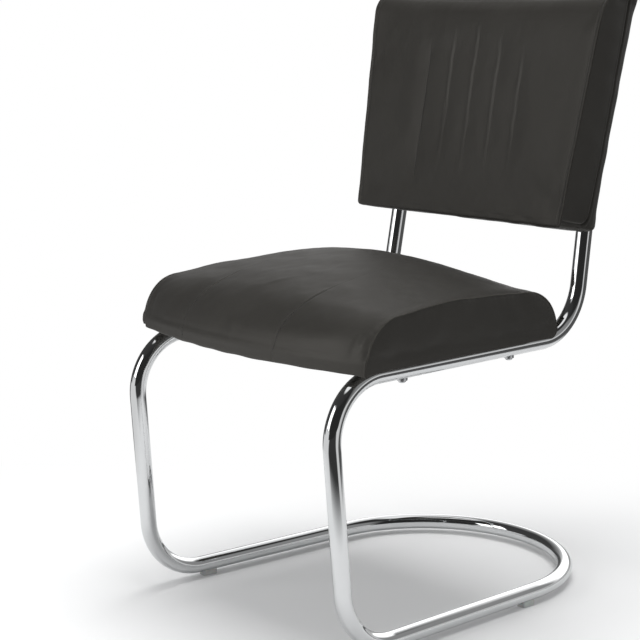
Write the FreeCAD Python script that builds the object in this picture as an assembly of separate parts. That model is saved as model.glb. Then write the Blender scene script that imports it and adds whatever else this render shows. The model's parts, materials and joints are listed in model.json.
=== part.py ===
import FreeCAD, Part
import os
from math import acos, atan2, cos, degrees, pi, radians, sin

# Cantilever dining chair: one bent steel tube, an upholstered seat and an upholstered back.
# Millimetres, +Z up. The sitter looks along -Y, and X runs across the chair.
# While building, Y = 0 is where a front leg's line meets a seat rail's line.

V = FreeCAD.Vector

# Steel tube
tube_diameter = 25.0
tube_wall = 2.0
foot_bend_radius = 95.0
front_bend_radius = 85.0
rear_bend_radius = 90.0
base_bend_radius = 212.0

# Run of the tube's centreline
floor_gap = 6.0
foot_half_spacing = 225.0
foot_setback = 32.0
front_corner_half_spacing = 220.0
front_corner_height = 397.5
rear_corner_half_spacing = 205.0
rear_corner_height = 401.0
rail_length = 506.0
base_bend_centre = 413.0
upright_top_half_spacing = 191.5
upright_length = 440.0
upright_lean = 9.1

# Glides under the runners
glide_front_place = 137.0
glide_rear_place = 405.0
glide_length = 26.0
glide_width = 17.0
glide_corner_radius = 5.0
glide_wrap = 4.0
glide_stem_diameter = 7.0
glide_stem_length = 5.0
glide_stem_clearance = 0.1

# Plugs in the tube's two upper ends
plug_length = 14.0
plug_flange = 2.0
plug_clearance = 0.1

# Seat cushion, measured back along the rails and up from the rails' tops
seat_front = 39.5
seat_depth = 383.0
seat_front_half_width = 251.0
seat_rear_half_width = 247.0
seat_seam_height = 81.5
seat_crest_place = 197.0
seat_front_roll = 62.0
seat_front_shoulder_drop = 11.0
seat_rear_roll = 62.0
seat_rear_shoulder_drop = 6.0
seat_tuck = 11.0
seat_tuck_height = 15.5
seat_lip_start = 45.5
seat_lip_drop = 3.0
seat_front_lean = 2.0

# How far the seat's middle stands out from its side seams
seat_crown = 37.0
seat_front_bow = 36.0
seat_front_shoulder_bow = 24.0
seat_front_shoulder_crown = 18.0
seat_rear_shoulder_crown = 22.0
seat_rear_bow = 8.0

# Seat base and sewn lines
seat_board_thickness = 12.0
seat_hem = 62.0
dust_cover_thickness = 0.8
dust_cover_clearance = 0.5
seat_line_half_spacing = 104.0
sewn_line_width = 2.0
sewn_line_depth = 0.6

# Back cushion, measured up along the uprights and forward from their centrelines
back_bottom = 155.0
back_height = 353.0
back_bottom_half_width = 219.5
back_top_half_width = 244.5
back_bottom_front = 78.0
back_top_front = 69.0
back_rear = 16.0
back_crown = 3.0
back_edge_crown = 0.8
back_side_bulge = 2.5
back_rear_corner_radius = 24.0
back_top_front_roll = 38.0
back_top_rear_roll = 24.0
back_bottom_front_roll = 12.0
back_bottom_rear_roll = 20.0
back_seam_place = 17.0
back_roll_room = 28.0
channel_pitch = 49.0
channel_count = 5
channel_depth = 2.2
channel_edge_depth = 0.2
channel_fade = 55.0

# Back board inside the cushion
back_board_thickness = 10.0
back_board_half_width = 213.0
back_board_margin = 22.0
back_board_corner_radius = 25.0
tube_channel_clearance = 0.5

# Upholstery
cover_thickness = 1.2
soft_clearance = 0.3

# M6 fixings
screw_diameter = 6.0
screw_hole_diameter = 6.6
tapped_hole_clearance = 0.1
screw_head_diameter = 10.5
screw_head_height = 3.3
screw_head_rounding = 2.0
hex_socket_width = 4.0
hex_socket_depth = 2.0
saddle_washer_diameter = 15.0
saddle_washer_thickness = 2.0
saddle_washer_wrap = 3.0
tee_nut_flange_diameter = 19.0
tee_nut_flange_thickness = 1.5
tee_nut_barrel_diameter = 8.0
tee_nut_barrel_length = 8.0
pocket_clearance = 1.0
seat_screw_places = (140.0, 360.0)
back_screw_places = (205.0, 400.0)
back_screw_reach = 6.0

# Sizes that follow from the ones above
tube_radius = tube_diameter / 2
runner_height = floor_gap + tube_radius
rail_tilt = degrees(atan2(rear_corner_height - front_corner_height, rail_length))
rail_taper = (front_corner_half_spacing - rear_corner_half_spacing) / rail_length
upright_taper = (rear_corner_half_spacing - upright_top_half_spacing) / upright_length
back_top = back_bottom + back_height
foam_inset = cover_thickness + soft_clearance
seat_board_bottom = tube_radius + cover_thickness
seat_board_top = seat_board_bottom + seat_board_thickness
back_board_front = tube_radius + back_board_thickness
tee_nut_hole_diameter = tee_nut_barrel_diameter + 2 * tapped_hole_clearance
seat_section_fractions = (-1.0, -0.7, -0.35, 0.0, 0.35, 0.7, 1.0)
far = 2 * (rail_length + upright_length)


def mirrored(shape):
    """The same shape on the chair's other side."""
    return shape.mirror(V(0, 0, 0), V(1, 0, 0))


def both_sides(shapes):
    """One compound of separate solids: those given and their mirror images."""
    return Part.makeCompound(shapes + [mirrored(shape) for shape in shapes])


def block(low, high):
    """Box between two corners."""
    size = high - low
    return Part.makeBox(size.x, size.y, size.z, low)


def rod(start, direction, diameter, length):
    """Round bar from a point along a direction."""
    return Part.makeCylinder(diameter / 2, length, start, direction)


def on_rails(shape):
    """Carries a shape built with Z = 0 on the rails' centrelines to the tilted rails."""
    placed = shape.copy()
    placed.rotate(V(0, 0, 0), V(1, 0, 0), rail_tilt)
    placed.translate(V(0, 0, front_corner_height))
    return placed


def on_uprights(shape):
    """Carries a shape built with Y = 0 on the uprights' centrelines to the leaning uprights."""
    placed = shape.copy()
    placed.rotate(V(0, 0, 0), V(1, 0, 0), -upright_lean)
    placed.translate(V(0, rail_length, rear_corner_height))
    return placed


def rail_half_spacing(place):
    """Half the distance between the rails' centrelines."""
    return front_corner_half_spacing - rail_taper * place


def upright_half_spacing(place):
    """Half the distance between the uprights' centrelines."""
    return rear_corner_half_spacing - upright_taper * place


def fillet_points(before, corner, after, radius):
    """Start, middle and end of the arc that rounds a corner between two lines."""
    back = (before - corner).normalize()
    ahead = (after - corner).normalize()
    half_angle = back.getAngle(ahead) / 2
    reach = radius * cos(half_angle) / sin(half_angle)
    bisector = (back + ahead).normalize()
    nearest = radius / sin(half_angle) - radius
    return corner + back * reach, corner + bisector * nearest, corner + ahead * reach


def rounded_edges(points, radii):
    """Edges of an open run of lines with its inner corners rounded."""
    edges = []
    start = points[0]
    for index, radius in enumerate(radii, 1):
        first, middle, last = fillet_points(points[index - 1], points[index], points[index + 1], radius)
        edges.append(Part.makeLine(start, first))
        edges.append(Part.Arc(first, middle, last).toShape())
        start = last
    edges.append(Part.makeLine(start, points[-1]))
    return edges


def rounded_outline(points, radii):
    """Closed wire of lines with each corner rounded by its own radius."""
    arcs = []
    for index, radius in enumerate(radii):
        before = points[index - 1]
        after = points[(index + 1) % len(points)]
        arcs.append(fillet_points(before, points[index], after, radius))
    edges = []
    for index, (first, middle, last) in enumerate(arcs):
        edges.append(Part.makeLine(arcs[index - 1][2], first))
        edges.append(Part.Arc(first, middle, last).toShape())
    return Part.Wire(edges)


def foot_point():
    """Corner between a front leg and its runner, on the +X side."""
    return V(foot_half_spacing, foot_setback, runner_height)


def runner_end_point():
    """Where a runner's line touches the base bend, on the +X side."""
    foot = foot_point()
    away = V(foot.x, foot.y - base_bend_centre, 0)
    angle = atan2(away.y, away.x) + acos(base_bend_radius / away.Length)
    reach = V(base_bend_radius * cos(angle), base_bend_radius * sin(angle), 0)
    return V(0, base_bend_centre, runner_height) + reach


def upright_top_point():
    """Upper end of the tube's centreline, on the +X side."""
    rear_corner = V(rear_corner_half_spacing, 0, 0)
    top = V(upright_half_spacing(upright_length), 0, upright_length)
    return on_uprights(Part.makeLine(rear_corner, top)).Vertexes[1].Point


def side_edges():
    """Centreline of the tube's +X half, from the upright's top to the base bend."""
    points = [
        upright_top_point(),
        V(rear_corner_half_spacing, rail_length, rear_corner_height),
        V(front_corner_half_spacing, 0, front_corner_height),
        foot_point(),
        runner_end_point(),
    ]
    return rounded_edges(points, (rear_bend_radius, front_bend_radius, foot_bend_radius))


def base_edge():
    """Centreline of the bend that joins the runners behind."""
    start = runner_end_point()
    rear = V(0, base_bend_centre + base_bend_radius, runner_height)
    return Part.Arc(start, rear, V(-start.x, start.y, start.z)).toShape()


def bar_along(edge, radius):
    """Round bar along a straight or circular edge."""
    start = edge.valueAt(edge.FirstParameter)
    direction = edge.tangentAt(edge.FirstParameter)
    if isinstance(edge.Curve, Part.Line):
        return Part.makeCylinder(radius, edge.Length, start, direction)
    disc = Part.Face(Part.Wire(Part.makeCircle(radius, start, direction)))
    centre = edge.Curve.Center
    axis = (start - centre).cross(direction)
    return disc.revolve(centre, axis, degrees(edge.Length / edge.Curve.Radius))


def frame_bar(radius):
    """Solid bar along the tube's whole centreline."""
    half = [bar_along(edge, radius) for edge in side_edges()]
    bars = half + [bar_along(base_edge(), radius)] + [mirrored(bar) for bar in half]
    return bars[0].multiFuse(bars[1:])


def runner_direction():
    """Unit vector along the +X runner, backwards."""
    return (runner_end_point() - foot_point()).normalize()


def runner_point(place):
    """Point on the +X runner's centreline at a distance behind the front corners."""
    direction = runner_direction()
    return foot_point() + direction * ((place - foot_setback) / direction.y)


def glide_stem_hole(place):
    """Hole in the tube's underside for one glide's stem."""
    diameter = glide_stem_diameter + 2 * glide_stem_clearance
    return rod(runner_point(place), V(0, 0, -1), diameter, tube_diameter)


def make_glide(place):
    """Plastic pad that wraps a runner's underside, with a stem in the tube's hole."""
    half_length = glide_length / 2
    half_width = glide_width / 2
    corners = [
        V(-half_width, -half_length, 0),
        V(half_width, -half_length, 0),
        V(half_width, half_length, 0),
        V(-half_width, half_length, 0),
    ]
    outline = rounded_outline(corners, [glide_corner_radius] * 4)
    pad = Part.Face(outline).extrude(V(0, 0, floor_gap + glide_wrap))
    pad.translate(V(0, 0, -runner_height))
    pad = pad.cut(rod(V(0, -glide_length, 0), V(0, 1, 0), tube_diameter, 2 * glide_length))
    stem_top = glide_stem_length - tube_radius - tube_wall / 2
    stem = rod(V(0, 0, stem_top), V(0, 0, -1), glide_stem_diameter, glide_stem_length)
    glide = pad.fuse(stem)
    direction = runner_direction()
    glide.rotate(V(0, 0, 0), V(0, 0, 1), degrees(atan2(-direction.x, direction.y)))
    glide.translate(runner_point(place))
    return glide


def make_plug():
    """Plastic plug in the +X upright's end."""
    top = upright_top_point()
    edge = side_edges()[0]
    inward = edge.tangentAt(edge.FirstParameter)
    bore = tube_diameter - 2 * (tube_wall + plug_clearance)
    flange = rod(top, inward * -1, tube_diameter, plug_flange)
    return flange.fuse(rod(top, inward, bore, plug_length))


def seat_screw_points():
    """Where the +X rail's screws cross its centreline, in the rails' own frame."""
    return [V(rail_half_spacing(place), place, 0) for place in seat_screw_places]


def back_screw_points():
    """Where the +X upright's screws cross its centreline, in the uprights' own frame."""
    return [V(upright_half_spacing(place), 0, place) for place in back_screw_places]


def make_frame_tube():
    """The chair's one bent tube, with its bore and the holes for screws and glides."""
    tube = frame_bar(tube_radius).cut(frame_bar(tube_radius - tube_wall))
    holes = [glide_stem_hole(glide_front_place), glide_stem_hole(glide_rear_place)]
    for point in seat_screw_points():
        start = point - V(0, 0, tube_diameter)
        holes.append(on_rails(rod(start, V(0, 0, 1), screw_hole_diameter, 2 * tube_diameter)))
    for point in back_screw_points():
        diameter = screw_diameter + 2 * tapped_hole_clearance
        holes.append(on_uprights(rod(point, V(0, -1, 0), diameter, tube_diameter)))
    return tube.cut(both_sides(holes))


def tangent_arc(start, direction, end):
    """Arc that leaves a point along a direction and ends at another, and its end direction."""
    chord = end - start
    turn = direction.getAngle(chord)
    if direction.cross(chord).x < 0:
        turn = -turn
    halfway = FreeCAD.Rotation(V(1, 0, 0), degrees(turn) / 2).multVec(direction)
    reach = chord.Length / 2 / cos(turn / 2)
    middle = start + halfway * reach
    leaving = FreeCAD.Rotation(V(1, 0, 0), degrees(turn) * 2).multVec(direction)
    return Part.Arc(start, middle, end), leaving


def seat_side_points():
    """Corners of the seat's side seam, as (place, height) above the rails' tops."""
    rear = seat_front + seat_depth
    return [
        (seat_front, -seat_lip_drop),
        (seat_front + seat_front_roll, seat_seam_height - seat_front_shoulder_drop),
        (seat_front + seat_crest_place, seat_seam_height),
        (rear - seat_rear_roll, seat_seam_height - seat_rear_shoulder_drop),
        (rear, seat_tuck_height),
        (rear - seat_tuck, 0.0),
    ]


def seat_middle_shifts():
    """How far the seat's middle section stands out at each of those corners."""
    return [
        (-seat_front_bow, 0.0),
        (-seat_front_shoulder_bow, seat_front_shoulder_crown),
        (0.0, seat_crown),
        (0.0, seat_rear_shoulder_crown),
        (seat_rear_bow, 0.0),
        (seat_rear_bow, 0.0),
    ]


def seat_half_width(place, inset):
    """Half the seat's width at a distance behind the front corners."""
    taper = (seat_front_half_width - seat_rear_half_width) / seat_depth
    return seat_front_half_width - taper * (place - seat_front) - inset


def seat_section(fraction, inset):
    """Outline of the seat at a fraction of its half width, moved inwards by an inset."""
    share = 1 - fraction * fraction
    corners = []
    for (place, height), (out, up) in zip(seat_side_points(), seat_middle_shifts()):
        corners.append(V(0, place + share * out, tube_radius + height + share * up))
    lean = radians(seat_front_lean)
    direction = V(0, sin(lean), cos(lean))
    directions = [direction]
    for start, end in zip(corners, corners[1:]):
        direction = tangent_arc(start, direction, end)[1]
        directions.append(direction)
    inner = [corners[0] + V(0, inset, inset)]
    for corner, direction in zip(corners[1:-1], directions[1:-1]):
        inner.append(corner + V(0, direction.z, -direction.y) * inset)
    inner.append(corners[-1] + V(0, 0, inset))
    curves = []
    direction = directions[0]
    for start, end in zip(inner, inner[1:]):
        curve, direction = tangent_arc(start, direction, end)
        curves.append(curve)
    lip = V(0, seat_front + seat_lip_start, tube_radius + inset)
    curves += [Part.LineSegment(inner[-1], lip), Part.LineSegment(lip, inner[0])]
    return seat_wire(curves, fraction, inset)


def seat_wire(curves, fraction, inset):
    """Carries flat curves to the seat's tapering section plane."""
    def carried(point):
        return V(fraction * seat_half_width(point.y, inset), point.y, point.z)

    edges = []
    for curve in curves:
        start = carried(curve.value(curve.FirstParameter))
        end = carried(curve.value(curve.LastParameter))
        if isinstance(curve, Part.LineSegment):
            edges.append(Part.makeLine(start, end))
            continue
        middle = carried(curve.value((curve.FirstParameter + curve.LastParameter) / 2))
        edges.append(Part.Arc(start, middle, end).toShape())
    return Part.Wire(edges)


def seat_form(inset):
    """The seat cushion's crowned body, moved inwards by an inset."""
    sections = [seat_section(fraction, inset) for fraction in seat_section_fractions]
    return Part.makeLoft(sections, True, False)


def beside_seat_wall(inset):
    """Everything outboard of the seat's +X side wall at an inset."""
    front = V(seat_half_width(-far, inset), -far, -far)
    rear = V(seat_half_width(far, inset), far, -far)
    outline = Part.makePolygon([front, rear, rear + V(far, 0, 0), front + V(far, 0, 0), front])
    return Part.Face(outline).extrude(V(0, 0, 2 * far))


def seat_window(margin):
    """Opening inside the seat cover's hem, narrowed by a margin, as (low, high) corners."""
    rear = seat_front + seat_depth
    half_width = seat_rear_half_width - seat_hem - margin
    low = V(-half_width, seat_front + seat_hem + margin, tube_radius)
    return low, V(half_width, rear - seat_hem + seat_tuck - margin, seat_board_bottom)


def seat_screw_holes():
    """Clearance holes for the seat's screws through what lies under the board."""
    holes = []
    for point in seat_screw_points():
        holes.append(rod(point, V(0, 0, 1), screw_hole_diameter, seat_board_top))
    return both_sides(holes)


def seat_side_zone():
    """Space that the +X side panel and its hem take from the seat's cover."""
    low, high = seat_window(0)
    hem = block(V(0, low.y, 0), V(far, high.y, seat_board_bottom))
    return beside_seat_wall(cover_thickness).fuse(hem)


def sewn_line_cutter(place):
    """Shallow groove that a sewn line pulls into the seat's top."""
    half_width = sewn_line_width / 2
    strip = block(V(place - half_width, -far, seat_board_top), V(place + half_width, far, far))
    return strip.cut(seat_form(sewn_line_depth))


def make_seat_covers():
    """The seat's side panel on +X and the panel that wraps its front, top and rear."""
    shell = seat_form(0).cut(seat_form(cover_thickness))
    low, high = seat_window(0)
    shell = shell.cut(block(low - V(0, 0, cover_thickness), high)).cut(seat_screw_holes())
    zone = seat_side_zone()
    side = shell.common(zone)
    wrap = shell.cut(zone).cut(mirrored(zone))
    for place in (-seat_line_half_spacing, seat_line_half_spacing):
        wrap = wrap.cut(sewn_line_cutter(place))
    return on_rails(side), on_rails(wrap)


def seat_board_slab():
    """Layer of the seat that the board fills."""
    return block(V(-far, -far, seat_board_bottom), V(far, far, seat_board_top))


def make_seat_board():
    """Plywood base that fills the cushion's outline, with holes for the tee nuts."""
    board = seat_form(foam_inset).common(seat_board_slab())
    holes = []
    for point in seat_screw_points():
        holes.append(rod(point, V(0, 0, 1), tee_nut_hole_diameter, seat_board_top))
    return on_rails(board.cut(both_sides(holes)))


def make_seat_foam():
    """Crowned foam block above the board, with pockets over the tee nuts."""
    below = block(V(-far, -far, -far), V(far, far, seat_board_top))
    pockets = []
    for point in seat_screw_points():
        start = V(point.x, point.y, seat_board_top)
        diameter = tee_nut_flange_diameter + 2 * pocket_clearance
        pockets.append(rod(start, V(0, 0, 1), diameter, tee_nut_flange_thickness + pocket_clearance))
    return on_rails(seat_form(foam_inset).cut(below).cut(both_sides(pockets)))


def make_dust_cover():
    """Thin sheet under the board, inside the cover's hem."""
    low, high = seat_window(dust_cover_clearance)
    return on_rails(block(V(low.x, low.y, seat_board_bottom - dust_cover_thickness), high))


def button_screw(length):
    """M6 button-head screw along +Z, its head below Z = 0."""
    head = rod(V(0, 0, 0), V(0, 0, -1), screw_head_diameter, screw_head_height)
    rim = [edge for edge in head.Edges if edge.BoundBox.ZMax < -screw_head_height / 2]
    rim = [edge for edge in rim if edge.BoundBox.ZLength < screw_head_height / 2]
    head = head.makeFillet(screw_head_rounding, rim)
    socket = hex_prism(hex_socket_width, hex_socket_depth)
    socket.translate(V(0, 0, -screw_head_height))
    return head.cut(socket).fuse(rod(V(0, 0, 0), V(0, 0, 1), screw_diameter, length))


def hex_prism(width, height):
    """Hexagonal prism from Z = 0, by its width across flats."""
    radius = width / 2 / cos(pi / 6)
    corners = [V(radius * cos(step * pi / 3), radius * sin(step * pi / 3), 0) for step in range(7)]
    return Part.Face(Part.makePolygon(corners)).extrude(V(0, 0, height))


def make_saddle_washer(point):
    """Washer whose upper side wraps the underside of a rail."""
    bottom = point - V(0, 0, tube_radius + saddle_washer_thickness)
    height = saddle_washer_thickness + saddle_washer_wrap
    washer = rod(bottom, V(0, 0, 1), saddle_washer_diameter, height)
    washer = washer.cut(rod(bottom, V(0, 0, 1), screw_hole_diameter, height))
    along = V(-rail_taper, 1, 0).normalize()
    return washer.cut(rod(point - along * tube_diameter, along, tube_diameter, 2 * tube_diameter))


def make_tee_nut(point):
    """Tee nut with its flange on the seat board and its barrel in the board."""
    top = V(point.x, point.y, seat_board_top)
    nut = rod(top, V(0, 0, 1), tee_nut_flange_diameter, tee_nut_flange_thickness)
    nut = nut.fuse(rod(top, V(0, 0, -1), tee_nut_barrel_diameter, tee_nut_barrel_length))
    bore = screw_diameter + 2 * tapped_hole_clearance
    return nut.cut(rod(V(point.x, point.y, 0), V(0, 0, 1), bore, far))


def make_seat_screw(point):
    """Screw from under a rail up into its tee nut."""
    seat = point - V(0, 0, tube_radius + saddle_washer_thickness)
    screw = button_screw(seat_board_top + tee_nut_flange_thickness - seat.z)
    screw.translate(seat)
    return screw


def make_back_screw(point):
    """Screw from the board's front into an upright."""
    screw = button_screw(back_board_front - tube_radius + back_screw_reach)
    screw.rotate(V(0, 0, 0), V(1, 0, 0), -90)
    screw.translate(V(point.x, -back_board_front, point.z))
    return screw


def along_back(place, bottom_value, top_value):
    """Value at a height on the back that runs evenly from bottom to top."""
    return bottom_value + (top_value - bottom_value) * (place - back_bottom) / back_height


def faded(place, middle_value, edge_value):
    """Value that falls from the back's middle to its bottom and top rolls."""
    bottom_end = back_bottom + back_bottom_front_roll
    top_end = back_top - back_top_front_roll
    inside = min(place - bottom_end, top_end - place) / channel_fade
    share = max(0.0, min(1.0, inside))
    return edge_value + (middle_value - edge_value) * share


def back_front_at(across, place, inset):
    """Y of the back's crowned front, without its channels."""
    half_width = along_back(place, back_bottom_half_width, back_top_half_width)
    crown = faded(place, back_crown, back_edge_crown)
    front = along_back(place, back_bottom_front, back_top_front)
    return -(front - inset + crown * (1 - (across / half_width) ** 2))


def arc_through(points):
    """Arc through three points given as (x, y) at one height."""
    return Part.Arc(points[0], points[1], points[2]).toShape()


def back_front_arcs(place, inset):
    """Front of a level section: plain arcs at the sides and one arc for each channel between."""
    half_width = along_back(place, back_bottom_half_width, back_top_half_width) - inset
    depth = faded(place, channel_depth, channel_edge_depth)
    last = (channel_count - 1) / 2
    lines = [(index - last) * channel_pitch for index in range(channel_count)]
    ends = [V(-half_width, back_front_at(-half_width, place, inset), place)]
    ends += [V(across, back_front_at(across, place, inset) + depth, place) for across in lines]
    ends.append(V(half_width, back_front_at(half_width, place, inset), place))
    arcs = []
    for start, end in zip(ends, ends[1:]):
        across = (start.x + end.x) / 2
        middle = V(across, back_front_at(across, place, inset), place)
        arcs.append(arc_through([start, middle, end]))
    return arcs


def back_section(place, inset):
    """Closed level section of the back."""
    front = back_front_arcs(place, inset)
    left = front[0].Vertexes[0].Point
    right = front[-1].Vertexes[-1].Point
    half_width = right.x
    radius = back_rear_corner_radius - inset
    rear = back_rear - inset
    slant = 1 - cos(pi / 4)
    rear_right = V(half_width - radius, rear, place)
    side_right = V(half_width, rear - radius, place)
    bulge = V(half_width + back_side_bulge, (side_right.y + right.y) / 2, place)
    corner = V(half_width - radius * slant, rear - radius * slant, place)
    right_edges = [
        arc_through([right, bulge, side_right]),
        arc_through([side_right, corner, rear_right]),
    ]
    left_edges = [mirrored(edge) for edge in right_edges]
    rear_line = Part.makeLine(rear_right, V(-rear_right.x, rear_right.y, place))
    return Part.Wire(Part.__sortEdges__(front + right_edges + [rear_line] + left_edges))


def back_loft(inset):
    """The back's body between its level ends, before its edges are rolled."""
    bottom_end = back_bottom + back_bottom_front_roll
    top_end = back_top - back_top_front_roll
    places = (
        back_bottom,
        bottom_end,
        bottom_end + channel_fade,
        (bottom_end + top_end) / 2,
        top_end - channel_fade,
        top_end,
        back_top,
    )
    return Part.makeLoft([back_section(place, inset) for place in places], True, False)


def back_rolls(inset):
    """Block across the chair whose side view is the back's, with its four edges rounded."""
    bottom = back_bottom + inset
    top = back_top - inset
    rear = back_rear - inset
    bottom_front = -(back_bottom_front + back_edge_crown - inset)
    top_front = -(back_top_front + back_edge_crown - inset)
    corners = [
        V(-far / 2, rear, bottom),
        V(-far / 2, bottom_front, bottom),
        V(-far / 2, top_front, top),
        V(-far / 2, rear, top),
    ]
    radii = [back_bottom_rear_roll, back_bottom_front_roll, back_top_front_roll, back_top_rear_roll]
    arcs = []
    for index, radius in enumerate(radii):
        before = corners[index - 1]
        after = corners[(index + 1) % len(corners)]
        arcs.append(fillet_points(before, corners[index], after, radius - inset))
    clear_of_crown = V(-far / 2, bottom_front - back_roll_room, (bottom + top) / 2)
    edges = []
    for index, (first, middle, last) in enumerate(arcs):
        start = arcs[index - 1][2]
        if index == 2:
            edges.append(Part.makeLine(start, clear_of_crown))
            start = clear_of_crown
        edges.append(Part.makeLine(start, first))
        edges.append(Part.Arc(first, middle, last).toShape())
    return Part.Face(Part.Wire(edges)).extrude(V(far, 0, 0))


def back_form(inset):
    """The back cushion's body with rolled edges, moved inwards by an inset."""
    return back_loft(inset).common(back_rolls(inset))


def upright_bars(clearance):
    """Both uprights as plain bars, wider by a clearance, in the uprights' own frame."""
    start = V(rear_corner_half_spacing, 0, 0)
    direction = V(-upright_taper, 0, 1).normalize()
    bar = rod(start, direction, tube_diameter + 2 * clearance, upright_length + plug_flange + clearance)
    return both_sides([bar])


def ahead_of(place):
    """Everything ahead of a plane parallel to the uprights."""
    return block(V(-far, -far, -far), V(far, -place, far))


def ahead_of_front(inset):
    """Everything ahead of the back's front edge at an inset."""
    low = V(-far, -(along_back(-far, back_bottom_front, back_top_front) - inset), -far)
    high = V(-far, -(along_back(far, back_bottom_front, back_top_front) - inset), far)
    ahead = V(0, -far, 0)
    outline = Part.makePolygon([low, high, high + ahead, low + ahead, low])
    return Part.Face(outline).extrude(V(2 * far, 0, 0))


def back_side_wall(roll_inset):
    """The side walls of the back's cover between its front and rear seams, on +X."""
    walls = back_loft(0).cut(back_loft(cover_thickness))
    walls = walls.common(back_rolls(roll_inset)).common(ahead_of(back_seam_place))
    plus_side = block(V(0, -far, -far), V(far, far, far))
    return walls.cut(ahead_of_front(cover_thickness)).common(plus_side)


def make_back_covers():
    """The back's front cover, rear cover and +X side panel."""
    shell = back_form(0).cut(back_form(cover_thickness))
    side = back_side_wall(foam_inset)
    zone = back_side_wall(cover_thickness)
    front = shell.common(ahead_of(back_seam_place)).cut(zone).cut(mirrored(zone))
    rear = shell.cut(ahead_of(back_seam_place)).cut(upright_bars(tube_channel_clearance))
    return on_uprights(front), on_uprights(rear), on_uprights(side)


def back_board_blank(clearance):
    """The back board's outline as a plate, wider all round by a clearance."""
    half_width = back_board_half_width + clearance
    bottom = back_bottom + back_board_margin - clearance
    top = back_top - back_board_margin + clearance
    corners = [
        V(-half_width, -tube_radius, bottom),
        V(half_width, -tube_radius, bottom),
        V(half_width, -tube_radius, top),
        V(-half_width, -tube_radius, top),
    ]
    outline = rounded_outline(corners, [back_board_corner_radius + clearance] * 4)
    return Part.Face(outline).extrude(V(0, -back_board_thickness, 0))


def make_back_board():
    """Plywood board ahead of the uprights, with its screw holes."""
    holes = [rod(point, V(0, -1, 0), screw_hole_diameter, far) for point in back_screw_points()]
    return on_uprights(back_board_blank(0).cut(both_sides(holes)))


def make_back_foams():
    """Foam ahead of the board, with pockets over the screws, and foam round the uprights."""
    form = back_form(foam_inset)
    pockets = []
    for point in back_screw_points():
        start = V(point.x, -back_board_front, point.z)
        diameter = screw_head_diameter + 2 * pocket_clearance
        pockets.append(rod(start, V(0, -1, 0), diameter, screw_head_height + pocket_clearance))
    front = form.common(ahead_of(back_board_front)).cut(both_sides(pockets))
    rear = form.cut(ahead_of(back_board_front)).cut(back_board_blank(soft_clearance))
    rear = rear.cut(upright_bars(tube_channel_clearance))
    return on_uprights(front), on_uprights(rear)


def chair_middle():
    """Y midway between the front of the legs and the rear of the base bend."""
    front_bend = side_edges()[3]
    front = min(point.y for point in front_bend.discretize(400)) - tube_radius
    rear = base_bend_centre + base_bend_radius + tube_radius
    return (front + rear) / 2


def frame_nodes():
    """The tube and its plastic fittings."""
    nodes = {"frame_tube": make_frame_tube()}
    fittings = {
        "glide_front": make_glide(glide_front_place),
        "glide_rear": make_glide(glide_rear_place),
        "tube_plug": make_plug(),
    }
    for name, fitting in fittings.items():
        nodes[name + "_right"] = fitting
        nodes[name + "_left"] = mirrored(fitting)
    return nodes


def seat_nodes():
    """The seat cushion's layers and its fixings."""
    side, wrap = make_seat_covers()
    points = seat_screw_points()
    return {
        "seat_board": make_seat_board(),
        "seat_foam": make_seat_foam(),
        "seat_cover_wrap": wrap,
        "seat_cover_side_right": side,
        "seat_cover_side_left": mirrored(side),
        "seat_dust_cover": make_dust_cover(),
        "seat_screws": on_rails(both_sides([make_seat_screw(point) for point in points])),
        "seat_tee_nuts": on_rails(both_sides([make_tee_nut(point) for point in points])),
        "seat_saddle_washers": on_rails(both_sides([make_saddle_washer(point) for point in points])),
    }


def back_nodes():
    """The back cushion's layers and its fixings."""
    front, rear, side = make_back_covers()
    foam_front, foam_rear = make_back_foams()
    screws = [make_back_screw(point) for point in back_screw_points()]
    return {
        "back_board": make_back_board(),
        "back_foam_front": foam_front,
        "back_foam_rear": foam_rear,
        "back_cover_front": front,
        "back_cover_rear": rear,
        "back_cover_side_right": side,
        "back_cover_side_left": mirrored(side),
        "back_screws": on_uprights(both_sides(screws)),
    }


os.makedirs("parts", exist_ok=True)
to_centre = V(0, -chair_middle(), 0)
for name, shape in {**frame_nodes(), **seat_nodes(), **back_nodes()}.items():
    shape.translate(to_centre)
    shape.exportStep("parts/" + name + ".step")
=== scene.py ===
import json
import math

import bpy
import numpy as np
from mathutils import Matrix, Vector


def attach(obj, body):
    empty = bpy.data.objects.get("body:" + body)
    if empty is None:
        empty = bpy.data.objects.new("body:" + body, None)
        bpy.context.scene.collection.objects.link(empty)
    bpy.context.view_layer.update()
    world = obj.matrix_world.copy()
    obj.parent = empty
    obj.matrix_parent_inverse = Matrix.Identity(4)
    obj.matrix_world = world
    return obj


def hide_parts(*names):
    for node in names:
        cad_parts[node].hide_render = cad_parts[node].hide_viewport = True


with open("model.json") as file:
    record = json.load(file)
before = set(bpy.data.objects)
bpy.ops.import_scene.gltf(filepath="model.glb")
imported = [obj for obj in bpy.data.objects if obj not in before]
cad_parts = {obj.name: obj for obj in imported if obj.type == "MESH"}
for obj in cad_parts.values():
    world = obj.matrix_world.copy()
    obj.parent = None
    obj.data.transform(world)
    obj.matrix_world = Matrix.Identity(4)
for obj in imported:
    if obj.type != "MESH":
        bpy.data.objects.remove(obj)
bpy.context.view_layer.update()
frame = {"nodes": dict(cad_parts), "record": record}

# Lengths in this script are millimetres until MM turns them into Blender's metres.
MM = 0.001
nodes = frame["nodes"]
record = frame["record"]

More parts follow.
